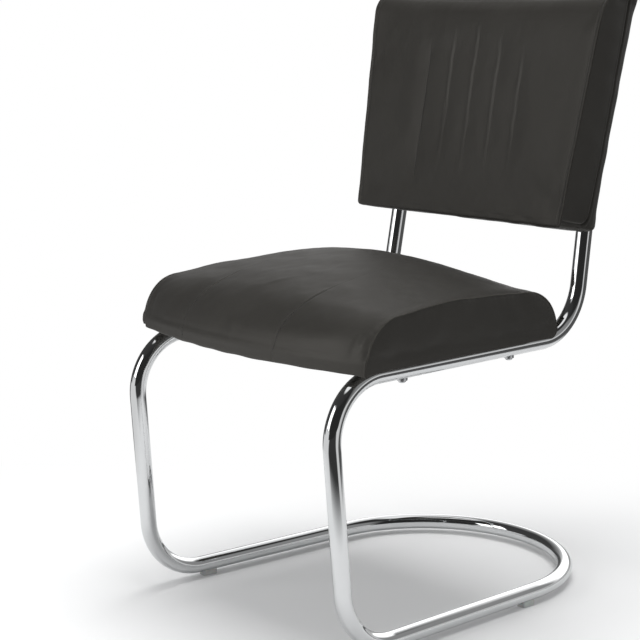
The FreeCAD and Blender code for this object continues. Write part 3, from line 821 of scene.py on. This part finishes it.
class Puckers:
    """Small valleys that run away from a seam, at uneven places along it."""

    def __init__(self, length, seed, spacing=(8.0, 17.0), depth=(0.2, 0.7), reach=(5.0, 16.0)):
        gen = np.random.default_rng(seed)
        place, self.list = 0.0, []
        while place < length:
            place += gen.uniform(*spacing)
            ranges = (depth, (1.8, 3.6), reach, (-0.5, 0.5))
            self.list.append((place, *(gen.uniform(*limits) for limits in ranges)))

    def depth(self, along, away):
        total = np.zeros(np.broadcast(along, away).shape)
        for place, depth, width, reach, slant in self.list:
            total += depth * bell(along - place - slant * away, width) * np.exp(-away / reach)
        return total * smooth_step(away, 0.0, 2.5)


def line_distance(x, y, points):
    """Distance to a polyline, and how far along it the nearest point lies (0 to 1)."""
    best = np.full(np.broadcast(x, y).shape, 1e9)
    along = np.zeros(best.shape)
    points = np.array(points, float)
    marks = travelled(points)
    marks /= marks[-1]
    for i, (start, end) in enumerate(zip(points, points[1:])):
        run = end - start
        share = np.clip(((x - start[0]) * run[0] + (y - start[1]) * run[1]) / (run @ run), 0, 1)
        gap = np.hypot(x - start[0] - share * run[0], y - start[1] - share * run[1])
        nearer = gap < best
        best = np.where(nearer, gap, best)
        along = np.where(nearer, marks[i] + (marks[i + 1] - marks[i]) * share, along)
    return best, along


def stitch_mesh(name, runs, to_row, pitch=4.4, length=3.1, thick=0.42):
    """Short capsules of thread laid along runs of (points, normals)."""
    verts, faces = [], []
    profile = [(-0.5, 0.35), (-0.42, 0.8), (-0.2, 1.0), (0.2, 1.0), (0.42, 0.8), (0.5, 0.35)]
    for points, normals in runs:
        along = travelled(points)

        def read(rows, place):
            return np.array([np.interp(place, along, rows[:, c]) for c in range(3)])

        for place in np.arange(pitch, along[-1] - pitch, pitch):
            centre, normal = read(points, place), unit(read(normals, place))
            tangent = unit(read(points, place + 0.5) - read(points, place - 0.5))
            side = unit(np.cross(tangent, normal))
            closed_tube(verts, faces, [
                ring(centre + tangent * length * share + normal * thick * (0.5 - 3.2 * share * share),
                     fat * thick, side, normal, 8)
                for share, fat in profile])
    finish_piece(mesh_object(name, to_row(np.array(verts)), faces), THREAD)


def welt_mesh(name, runs, to_row, thick):
    """Round beads of folded leather along runs of (points, normals), tapering away at both ends; their
    leather is painted lighter as the highlight along the seam's crest.
    """
    verts, faces = [], []
    for points, normals in runs:
        tangents = unit(np.gradient(points, axis=0))
        across = unit(np.cross(tangents, normals))
        above = np.cross(across, tangents)
        share = np.linspace(0, 1, len(points))
        fat = thick * np.sqrt(np.clip(np.minimum(share, 1 - share) * 14, 0.02, 1))
        closed_tube(verts, faces, [ring(*parts, 10) for parts in zip(points, fat, across, above)])
    finish_piece(mesh_object(name, to_row(np.array(verts)), faces), WELT_HIGHLIGHT_LEATHER)


def read_row(grid, across, wanted):
    """The grid's row at an across value, between its nearest rows."""
    i = int(np.clip(np.searchsorted(across, wanted), 1, len(across) - 1))
    share = (wanted - across[i - 1]) / (across[i] - across[i - 1])
    return grid[i - 1] * (1 - share) + grid[i] * share


def swelled(name, skin, hold, inset, cap, calm, dip=0.0):
    """hold is how firmly each place is held, inset how far in the free places start, cap the farthest
    that any moves, calm how often small folds are smoothed, and dip how deep the band is sewn down.
    """
    normals, wall_normals = skin.normals()
    rest = {"band": skin.band - normals * np.asarray(dip)[..., None], **skin.walls}
    begin = {"band": rest["band"] - normals * inset["band"][..., None]}
    for side in (1, -1):
        begin[side] = rest[side] - wall_normals[side] * inset["wall"][..., None]
    settled = settle(name, skin, begin, hold, cap)
    change = {"band": settled["band"] - skin.band}
    for side in (1, -1):
        change[side] = settled[side] - skin.walls[side]
    inner = change["band"]
    for _ in range(calm):
        inner = (np.roll(inner, 1, 1) + 2 * inner + np.roll(inner, -1, 1)) / 4
        middle = (inner[:-2] + 2 * inner[1:-1] + inner[2:]) / 4
        inner = np.concatenate([inner[:1], middle, inner[-1:]])
    loose = (1 - np.clip(hold["band"], 0, 1))[..., None]
    change["band"] += (inner - change["band"]) * loose
    return change


def soften_columns(band, columns, spread):
    """Rounds the band's hard bottom edges near given columns."""
    total = band.shape[1]
    blurred = band.copy()
    for _ in range(spread):
        blurred = (np.roll(blurred, 1, 1) + 2 * blurred + np.roll(blurred, -1, 1)) / 4
    gap = np.full(total, 1e9)
    for column in columns:
        away = np.abs(np.arange(total) - column)
        gap = np.minimum(gap, np.minimum(away, total - away))
    share = bell(gap, spread * 0.9)[None, :, None]
    return band * (1 - share) + blurred * share


TUCK_REACH, RIM_REACH = 2.6, 9.0


def tuck(skin, band, walls, normals, depth):
    """Folds the panels' edges a little inwards and brings each wall's rim to the band's edge."""
    index = skin.loop_index()
    rim = index >= 0
    for row, side in ((-1, 1), (0, -1)):
        edge = band[row]
        seam = edge - (normals[row] + np.array([float(side), 0.0, 0.0])) * depth
        away = np.linalg.norm(band - edge[None], axis=-1)
        fold = np.clip(1 - away / TUCK_REACH, 0, 1) ** 2.2
        band = band + fold[..., None] * (seam - edge)[None]
        start = np.zeros(edge.shape)
        start[index[rim]] = walls[side][rim]
        gap, which = nearest_on_loop(walls[side], start)
        fold = np.clip(1 - gap / RIM_REACH, 0, 1) ** 1.7
        walls[side] = walls[side] + fold[..., None] * (seam - start)[which]
    return band, walls


def sewn_run(band, normals, row, columns):
    """Points, evened out, and normals at one row of each column."""
    points = band[row, columns]
    return (np.roll(points, 1, 0) + points + np.roll(points, -1, 0)) / 3, normals[row, columns]


def wall_puckers(skin, wall, side, along, seed, depth, reach):
    """How deep a side wall's puckers are, and how far each place is from the wall's rim."""
    gap, which = nearest_on_loop(wall, skin.band[-1 if side > 0 else 0])
    return Puckers(along[-1], seed, depth=depth, reach=reach).depth(along[which], gap), gap


def sunk(walls, drops):
    """The side walls, each moved inwards by its drop."""
    return {
        side: walls[side] - (grid_normals(walls[side]) * side) * drops[side][..., None] for side in (1, -1)}


def panel(name, grid, to_row, flip=False, close=False, keep=None):
    rows, columns = grid.shape[:2]
    faces = grid_faces(rows, columns, close_columns=close, flip=flip, keep=keep)
    used, where = np.unique(faces, return_inverse=True)
    return mesh_object(name, to_row(grid.reshape(-1, 3)[used]), where.reshape(-1, 4))


def side_panels(part, walls, to_row, padded):
    for side, word in ((1, "right"), (-1, "left")):
        wall = panel(f"{part}_side_panel_{word}", walls[side], to_row, flip=side < 0)
        finish_piece(wall, LEATHER, f"{part}_cover_side_{word}", padded=padded)


# ---- the seat

SEAT_LINE = 104.0
SEAT_WINDOW = (185.0, 101.5, 371.5)
CORNER_FOLDS = (
    (((226.0, 24.0), (228.0, 60.0), (231.0, 92.0)), 5.5, -1.1),
    (((237.0, 36.0), (238.5, 66.0), (239.0, 92.0)), 3.2, 0.9),
)
SEAT_FOLDS = (
    (((-10.0, 74.0), (8.0, 98.0), (24.0, 124.0)), 5.0, 0.55),
    (((52.0, 92.0), (47.0, 140.0), (40.0, 200.0)), 6.0, 0.5),
    (((-60.0, 92.0), (-52.0, 140.0)), 6.0, 0.35),
)


def seat_across(near, widest, reach):
    edge = SeatBody.middle_half_width
    return graded([-edge, -SEAT_LINE, SEAT_LINE, edge], near, widest, reach) / edge


def on_side(q, low, high, soft):
    """1 where the round place q lies between two values, with soft ends."""
    return smooth_step(q, low - soft, low) * (1 - smooth_step(q, high, high + soft))


def near_board(z):
    """1 beside the board, where the cover has nothing to sink into, else 0."""
    return 1 - smooth_step(z, 27.0, 36.0)


def seat_line_gap(x, y, z, sign):
    """Distance from a sewn line, which wanders a little down the seat's front."""
    wander = -8.5 * (1 - smooth_step(z, 60.0, 105.0)) + 0.7 * np.sin(y / 14.0 + z / 11.0 + sign)
    return x - sign * SEAT_LINE - wander


def stuffed_seat(body, fine):
    """The fine skin's band and walls, swelled as the stuffed cover is."""
    coarse = Skin(body, seat_across(7.0, 7.5, 30.0), 13, 48)
    x, y, z, q = coarse.places()
    to_seam = body.half_width(y) - np.abs(x)
    above = 1 - smooth_step(q, 2.75, 3.0) * (1 - smooth_step(q, 3.97, 4.0))
    under = (q >= 2.98).astype(float)
    firm = near_board(z)
    free = (1 - bell(to_seam, 13.0)) * (1 - under) * above * (1 - firm)
    wall_gap, _ = nearest_on_loop(coarse.walls[1], coarse.band[-1])
    wall_firm = near_board(coarse.walls[1][..., 2])
    hold = {
        "band": np.maximum.reduce([bell(to_seam, 3.0), under, firm]),
        "wall": np.maximum((wall_gap < 0.5).astype(float), wall_firm),
    }
    inset = {"band": 4.0 * free, "wall": 1.0 * (1 - bell(wall_gap, 14.0)) * (1 - wall_firm)}
    band, walls = carry(coarse, fine, swelled("seat_cloth", coarse, hold, inset, 4.6, 4))
    bottom_front, bottom_rear = 0, 2 * fine.n_front + fine.n_top
    return soften_columns(band, (bottom_front, bottom_rear), 5), walls


def seat_relief(body, fine, along):
    """How far the band stands out at its seams, lines, puckers and folds."""
    x, y, z, q = fine.places()
    upper = on_side(q, 0.02, 3.0, 0.02)
    firm = near_board(z)
    to_seam = np.maximum(body.half_width(y) - np.abs(x), 0)
    lift = 4.4 * bell(z - 46.0, 22.0) * (1 - smooth_step(y, 45.0, 110.0)) * (1 - (x / 251.0) ** 4)
    fuller = smooth_step(np.abs(x), 90.0, 220.0) * (1 - smooth_step(y, 75.0, 135.0)) * upper
    lift += 5.5 * bell(z - 70.0, 33.0) * fuller
    lift -= 2.6 * bell(to_seam, 7.0) * (1 - 0.75 * firm) * upper
    lift += 1.7 * bell(to_seam - 0.8, 0.9) * upper
    front = (1 - smooth_step(q, 0.75, 1.0)) * (q > 0.03)
    for points, width, height in CORNER_FOLDS:
        gap, share = line_distance(np.abs(x), z, points)
        lift += height * bell(gap, width) * np.sin(math.pi * share) * front
    for seed, sign in ((3, 1), (4, -1)):
        half = x * sign > 0
        puckers = Puckers(along[-1], seed, depth=(0.15, 0.7), reach=(5.0, 17.0))
        front_bias = 0.45 + 0.75 * (1 - smooth_step(y, 70.0, 150.0))
        lift -= puckers.depth(along[None], to_seam) * half * front_bias * (1 - 0.85 * firm)
        gap = seat_line_gap(x, y, z, sign)
        share = upper * (0.10 + 0.90 * (1 - smooth_step(y, 80.0, 128.0))) * (1 - 0.55 * firm)
        if sign < 0:
            share = share * (0.40 + 0.60 * smooth_step(z, 45.0, 80.0))
        puckers = Puckers(along[-1], seed + 10, (9.0, 22.0), (0.1, 0.35), (3.0, 9.0))
        lift -= puckers.depth(along[None], np.abs(gap)) * half * share
        lift -= (1.35 * bell(gap, 1.15) - 0.40 * bell(gap + 3.2, 1.8)) * share
    loose = upper * (1 - 0.7 * firm)
    lift += (0.25 * wave_noise(x, y, 60.0, 5) + 0.08 * wave_noise(x, y, 24.0, 6)) * loose
    for points, width, height in SEAT_FOLDS:
        gap, share = line_distance(x, y, points)
        lift += height * bell(gap, width) * np.sin(math.pi * share) * on_side(q, 0.4, 2.6, 0.1)
    hem_line = np.minimum(np.abs(fine.q), 4.0 - fine.q)[None] < 0.03
    return lift + 0.35 * wave_noise(x, 0 * x, 60.0, 8) * hem_line


def make_seat():
    body = SeatBody()
    fine = Skin(body, seat_across(0.5, 2.6, 14.0), 62, 190)
    band, walls = stuffed_seat(body, fine)
    along = travelled(band[-1])
    x, y, z, q = fine.places()
    band = band + grid_normals(band, close_columns=True) * seat_relief(body, fine, along)[..., None]
    drops = {}
    for seed, side in ((3, 1), (4, -1)):
        wall = walls[side]
        drop, gap = wall_puckers(fine, wall, side, along, seed, (0.15, 0.6), (5.0, 14.0))
        drop -= 0.25 * wave_noise(wall[..., 1], wall[..., 2], 44.0, 7 + seed)
        drops[side] = drop * smooth_step(gap, 0, 4) * (1 - 0.8 * near_board(wall[..., 2]))
    walls = sunk(walls, drops)
    corner = smooth_step(np.abs(x), 235.0, 247.0) * bell(np.hypot(y - 39.5, z - 9.5), 7.0)
    band[..., 2] += np.where(x > 0, -1.6, 3.4) * corner
    band[..., 0] += np.where(x > 0, 0.0, 3.6) * corner
    hem_edge = smooth_step(np.minimum.reduce([
        SEAT_WINDOW[0] - np.abs(x), y - SEAT_WINDOW[1], SEAT_WINDOW[2] - y]), -2.4, -0.2)
    band[..., 2] += 2.3 * hem_edge * (q > 3.0)
    normals = grid_normals(band, close_columns=True)
    line_runs = []
    columns = np.nonzero((fine.q > 0.06) & (fine.q < 1.2))[0]
    for sign in (-1, 1):
        row = np.abs(seat_line_gap(x, y, z, sign)[:, columns]).argmin(0)
        line_runs.append([rows[1:-1] for rows in sewn_run(band, normals, row, columns)])
    band, walls = tuck(fine, band, walls, normals, 0.35)
    rims = []
    pick = (fine.q > 0.08) & (fine.q < 2.9)
    for row, side in ((-1, 1), (0, -1)):
        outward = unit(normals[row, pick] + np.array([0.8 * side, 0, 0]))
        rims.append((band[row, pick] + 0.15 * outward, outward))
    welt_mesh("seat_welts", rims, from_rails, 0.75)
    wrap = panel("seat_cover_wrap_sewn", band, from_rails, close=True)
    finish_piece(wrap, SAT_ON_LEATHER, "seat_cover_wrap", "seat_foam", padded=0.85)
    side_panels("seat", walls, from_rails, 0.85)
    stitch_mesh("seat_stitches", line_runs, from_rails)


make_seat()


# ---- the back

CHANNELS = (-98.0, -49.0, 0.0, 49.0, 98.0)
CHANNEL_TOPS = (420.0, 440.0, 449.0, 436.0, 408.0)
CHANNEL_FOOTS = (212.0, 244.0, 240.0, 242.0, 246.0)
CHANNEL_HEIGHT = 0.7
TOPSTITCH = 7.0
BACK_SEAM = -17.0
BACK_SIDE_SEAM = (
    (-78.0, 166.0), (-58.0, 164.5), (-40.0, 163.5), (-31.0, 164.0), (-24.0, 167.5), (-19.0, 175.0),
    (-17.5, 186.0), (-17.0, 210.0), (-17.0, 508.0))


def back_across(near, widest, reach):
    edge = BackBody.middle_half_width
    return graded([-edge, *CHANNELS, edge], near, widest, reach) / edge


def channel_share(x, u):
    """Signed distance to the nearest channel line, how deep it is there (0 to 1), and which it is."""
    lines = np.array(CHANNELS)
    which = np.argmin(np.abs(x[..., None] - lines), -1)
    top, foot = np.array(CHANNEL_TOPS)[which], np.array(CHANNEL_FOOTS)[which]
    share = smooth_step(u, foot - 30, foot + 60) * (1 - smooth_step(u, top - 20, top + 16))
    return x - lines[which], share, which


def channel_relief(x, u):
    """Height of the pleats beside the channel lines. The first line is a plain sewn one."""
    wander = 0.8 * np.sin(u / 26.0 + x / 60.0) + 0.4 * np.sin(u / 8.5 + x / 30.0)
    gap, share, which = channel_share(x + wander, u)
    pleat = np.where(gap < 0, bell(gap, 4.4), bell(gap, 2.6))
    patchy = 0.55 + 0.45 * np.sin(u / 13.0 + 1.0) * np.sin(u / 5.1)
    plain = -0.9 * bell(gap, 1.0) * (0.35 + 0.65 * patchy)
    return np.where(which == 0, plain, CHANNEL_HEIGHT * pleat) * share


def inside_edge(x):
    """How far inside the band's narrower edge each place is."""
    return np.abs(x[[0, -1]]).min(0)[None] - np.abs(x)


def stuffed_back(body, fine):
    """The fine skin's band and walls, swelled as the stuffed cover is."""
    coarse = Skin(body, back_across(6.5, 7.5, 30.0), 50, 10)
    x, _, u, q = coarse.places()
    to_seam = inside_edge(x)
    gap, share, _ = channel_share(x, u)
    share = share * (q < 1.0)
    low = 1 - smooth_step(u, body.bottom + 2, body.bottom + 70)
    free = (1 - bell(to_seam, 13.0)) * (1 - 0.4 * bell(gap, 11.0) * share) * (1 - low)
    free *= np.where((q > 2.0) & (q < 3.0), 0.5, 1.0)
    wall_gap, _ = nearest_on_loop(coarse.walls[1], coarse.band[-1])
    hold = {
        "band": np.maximum.reduce([bell(to_seam, 3.0), 0.5 * bell(gap, 5.0) * share, low]),
        "wall": (wall_gap < 0.5).astype(float),
    }
    inset = {"band": 3.6 * free, "wall": 2.6 * (1 - bell(wall_gap, 10.0))}
    change = swelled("back_cloth", coarse, hold, inset, 4.2, 2, dip=0.4 * bell(gap, 7.0) * share)
    return carry(coarse, fine, change)


def back_relief(fine, along, to_seam):
    """How far the band stands out at its seams, channels and puckers."""
    x, y, u, q = fine.places()
    front = 1 - smooth_step(q, 1.3, 1.5)
    lift = channel_relief(x, u) * front
    lift -= 1.00 * bell(to_seam - TOPSTITCH, 1.0) * front * (q > 0.02)
    lift += 0.90 * bell(to_seam - 2.4, 2.0) * front
    for seed, sign in ((31, 1), (32, -1)):
        puckers = Puckers(along[-1], seed, depth=(0.08, 0.4), reach=(4.0, 13.0))
        lift -= puckers.depth(along[None], to_seam) * (x * sign > 0)
    lift += 0.25 * wave_noise(x, u, 70.0, 33) + 0.06 * wave_noise(x, u, 24.0, 34)
    below = (q > 3.0) | (q < 0.03)
    lift += 0.45 * wave_noise(x, 0 * x, 60.0, 35) * below * smooth_step(to_seam, 6.0, 30.0)
    return lift - 1.5 * bell(y - BACK_SEAM, 1.4) * ((q > 1) & (q < 2) | (q > 3))


def sewn_back_runs(fine, band, normals, to_seam):
    """The stitch lines inside both side seams and along the first channel."""
    runs = []
    middle = len(fine.across) // 2
    pick = (fine.q > 0.03) & (fine.q < 1.2)
    for side in (1, -1):
        row = np.abs(to_seam[middle:] - TOPSTITCH).argmin(0) + middle
        if side < 0:
            row = len(fine.across) - 1 - row
        runs.append([rows[pick] for rows in sewn_run(band, normals, row, np.arange(band.shape[1]))])
    first = CHANNELS[0] / BackBody.middle_half_width
    row = read_row(band, fine.across, first)
    pick = (fine.q < 1) & (row[:, 2] > CHANNEL_FOOTS[0]) & (row[:, 2] < CHANNEL_TOPS[0])
    runs.append((row[pick], read_row(normals, fine.across, first)[pick]))
    return runs


def column_at_seam(fine, low, high):
    """Round parameter where the rear seam crosses the part of the band between two others."""
    columns = (fine.q > low) & (fine.q < high)
    return fine.q[columns][np.abs(fine.band[0, columns, 1] - BACK_SEAM).argmin()]


def make_back():
    body = BackBody()
    fine = Skin(body, back_across(0.9, 2.6, 12.0), 176, 84)
    band, walls = stuffed_back(body, fine)
    along = travelled(band[-1])
    to_seam = np.maximum(inside_edge(fine.band[..., 0]), 0)
    band = band + grid_normals(band, close_columns=True) * back_relief(fine, along, to_seam)[..., None]
    drops = {}
    for seed, side in ((31, 1), (32, -1)):
        drop, gap = wall_puckers(fine, walls[side], side, along, seed, (0.08, 0.35), (4.0, 10.0))
        wall_y, wall_u = fine.walls[side][..., 1], fine.walls[side][..., 2]
        seam_gap, _ = line_distance(wall_y, wall_u, BACK_SIDE_SEAM)
        drop *= smooth_step(gap, 0, 4)
        drop += 2.6 * bell(seam_gap, 1.7) - 0.45 * bell(seam_gap - 4.2, 2.0)
        drops[side] = drop - 0.20 * wave_noise(wall_y, wall_u, 50.0, 40 + seed)
    walls = sunk(walls, drops)
    normals = grid_normals(band, close_columns=True)
    runs = sewn_back_runs(fine, band, normals, to_seam)
    band, walls = tuck(fine, band, walls, normals, 0.35)
    in_front = (fine.q < column_at_seam(fine, 1, 2)) | (fine.q >= column_at_seam(fine, 3, 4))
    keep = np.broadcast_to(in_front[None], (band.shape[0] - 1, band.shape[1]))
    front_panel = panel("back_front_panel", band, from_uprights, close=True, keep=keep)
    finish_piece(front_panel, PLEAT_HIGHLIGHT_LEATHER, "back_cover_front", "back_foam_front", padded=0.8)
    rear_panel = panel("back_rear_panel", band, from_uprights, close=True, keep=~keep)
    finish_piece(rear_panel, LEATHER, "back_cover_rear", "back_foam_rear", padded=0.8)
    side_panels("back", walls, from_uprights, 0.8)
    stitch_mesh("back_stitches", runs, from_uprights)


make_back()


# ---- studio

CAMERA_PLACE = Vector((1.90371, -1.79759, 0.88336))
CAMERA_FOCUS = 1747.1705 / 640
AZIMUTH, ELEVATION = math.radians(48.8997), math.radians(10.0884)
CAMERA_WAY = (math.sin(AZIMUTH), -math.cos(AZIMUTH))
CAMERA_RIGHT = (math.cos(AZIMUTH), math.sin(AZIMUTH))
WORLD_LIGHT = 0.50
ZENITH_LIGHT = 1.2
FLOOR_REACH = 14.0

# Brightness that shiny things see round about, by degrees from the photograph's camera to its right
FLOOR_CARDS = (
    (-180, 1.00), (-152, 1.00), (-148, 0.14), (-118, 0.14), (-114, 0.92), (-40, 0.92), (-32, 0.05),
    (34, 0.05), (42, 0.88), (64, 0.80), (72, 0.10), (158, 0.12), (164, 1.00), (180, 1.00))
LOW_CARDS = (
    (-180, 0.10), (-104, 0.06), (-97, 0.95), (-50, 0.95), (-44, 0.03), (48, 0.03), (56, 0.90), (140, 0.60),
    (160, 0.35), (180, 0.35))
MIDDLE_CARDS = (
    (-180, 0.85), (-168, 0.35), (-148, 0.06), (-74, 0.06), (-68, 0.85), (-54, 0.85), (-48, 0.03), (44, 0.03),
    (60, 0.30), (110, 0.35), (128, 2.00), (165, 2.20), (180, 1.50))
HIGH_CARDS = (
    (-180, 0.70), (-140, 0.06), (44, 0.04), (115, 0.04), (145, 1.10), (180, 1.10))


def look(obj, back):
    obj.rotation_mode = "QUATERNION"
    obj.rotation_quaternion = (-back).to_track_quat("-Z", "Y")


def make_camera():
    data = bpy.data.cameras.new("camera")
    data.sensor_width = 36.0
    data.lens = CAMERA_FOCUS * data.sensor_width
    data.clip_start, data.clip_end = 0.05, 50.0
    cam = bpy.data.objects.new("camera", data)
    bpy.context.scene.collection.objects.link(cam)
    cam.location = CAMERA_PLACE
    flat = math.cos(ELEVATION)
    look(cam, Vector((CAMERA_WAY[0] * flat, CAMERA_WAY[1] * flat, math.sin(ELEVATION))))
    bpy.context.scene.camera = cam


def rays(g, *kinds):
    """1 for rays of any of these kinds, else 0."""
    paths = g.add("LightPath").outputs
    share = paths[f"Is {kinds[0]} Ray"]
    for kind in kinds[1:]:
        share = g.math("MAXIMUM", share, paths[f"Is {kind} Ray"])
    return share


def seen_from_centre(g, where):
    """How far a place or direction is toward the photograph's camera, to its right, and up."""
    x, y, z = g.add("SeparateXYZ", {0: where}).outputs
    toward, right = (
        g.math("MULTIPLY_ADD", y, way[1], g.math("MULTIPLY", x, way[0]))
        for way in (CAMERA_WAY, CAMERA_RIGHT))
    return toward, right, z


def surround(g, toward, right, cards):
    place = g.math("MULTIPLY_ADD", g.math("ARCTAN2", right, toward), 0.5 / math.pi, 0.5)
    return g.ramp(place, *((degrees / 360 + 0.5, value) for degrees, value in cards))


def make_floor():
    """Pale sheet. It runs out to white behind the chair, and to the studio's cards for shiny things."""
    mat = bpy.data.materials.new("studio_floor")
    g = Graph(mat)
    sheet = g.put(g.nodes["Principled BSDF"], {
        "Base Color": (0.97, 0.97, 0.97, 1), "Roughness": 0.8, "Specular IOR Level": 0.1})
    toward, right, _ = seen_from_centre(g, g.where())
    white = g.add("Emission", {"Color": (1, 1, 1, 1), "Strength": 1.0})
    behind = g.soft_range(g.math("MULTIPLY", toward, -1.0), 0.27, 0.72)
    seen = g.math("MULTIPLY", behind, rays(g, "Camera", "Glossy", "Transmission"))
    lit = g.mixed(seen, sheet.outputs[0], white.outputs[0])
    cards = g.add("Emission", {"Color": surround(g, toward, right, FLOOR_CARDS)})
    squares = g.math("MULTIPLY_ADD", right, right, g.math("MULTIPLY", toward, toward))
    far = g.soft_range(g.math("SQRT", squares), 0.75, 1.15)
    shown = g.mixed(g.math("MULTIPLY", far, rays(g, "Glossy")), lit, cards.outputs[0])
    g.put(g.nodes["Material Output"], {"Surface": shown})
    corners = [(x * FLOOR_REACH, y * FLOOR_REACH, 0) for x, y in ((-1, -1), (1, -1), (1, 1), (-1, 1))]
    floor = mesh_object("floor", corners, [(0, 1, 2, 3)], smooth=False)
    floor.data.materials.append(mat)


def make_world():
    """White to the camera, the studio's cards and pale ceiling to shiny things, and dim light to the rest."""
    world = bpy.data.worlds.new("studio")
    bpy.context.scene.world = world
    g = Graph(world)
    dim = g.put(g.nodes["Background"], {"Color": (0.98, 0.99, 1.0, 1), "Strength": WORLD_LIGHT})
    white = g.add("Background", {"Color": (1, 1, 1, 1), "Strength": 1.0})
    toward, right, up = seen_from_centre(g, g.where("Generated"))
    shown = None
    for cards, low, high in ((LOW_CARDS, 0, 0), (MIDDLE_CARDS, 0.12, 0.20), (HIGH_CARDS, 0.62, 0.74)):
        brightest = max(value for _, value in cards)
        shares = [(degrees, value / brightest) for degrees, value in cards]
        sheet = g.add("Background", {"Color": surround(g, toward, right, shares), "Strength": brightest})
        if shown is None:
            shown = sheet.outputs[0]
        else:
            shown = g.mixed(g.soft_range(up, low, high), shown, sheet.outputs[0])
    zenith = g.add("Background", {"Color": (1, 1, 1, 1), "Strength": ZENITH_LIGHT})
    round_about = g.mixed(g.soft_range(up, 0.90, 0.95), shown, zenith.outputs[0])
    shiny = g.mixed(rays(g, "Glossy"), dim.outputs[0], round_about)
    outcome = g.mixed(rays(g, "Camera", "Transmission"), shiny, white.outputs[0])
    g.put(g.nodes["World Output"], {"Surface": outcome})


def soft_box(name, place, target, size, watts, seen_in_chrome):
    data = bpy.data.lights.new(name, "AREA")
    data.shape = "RECTANGLE"
    data.size, data.size_y = size
    data.energy = watts
    lamp = bpy.data.objects.new(name, data)
    bpy.context.scene.collection.objects.link(lamp)
    lamp.location = place
    lamp.visible_glossy = seen_in_chrome
    look(lamp, Vector(place) - Vector(target))


make_camera()
make_floor()
make_world()
soft_box("key", (0.0, 0.10, 2.6), (0.0, 0.0, 0.2), (1.7, 1.7), 45.0, False)
soft_box("fill", (-0.9, -2.6, 1.6), (0.0, 0.0, 0.4), (1.6, 1.6), 20.0, True)

scene = bpy.context.scene
scene.view_settings.view_transform = "Standard"

bpy.context.view_layer.update()
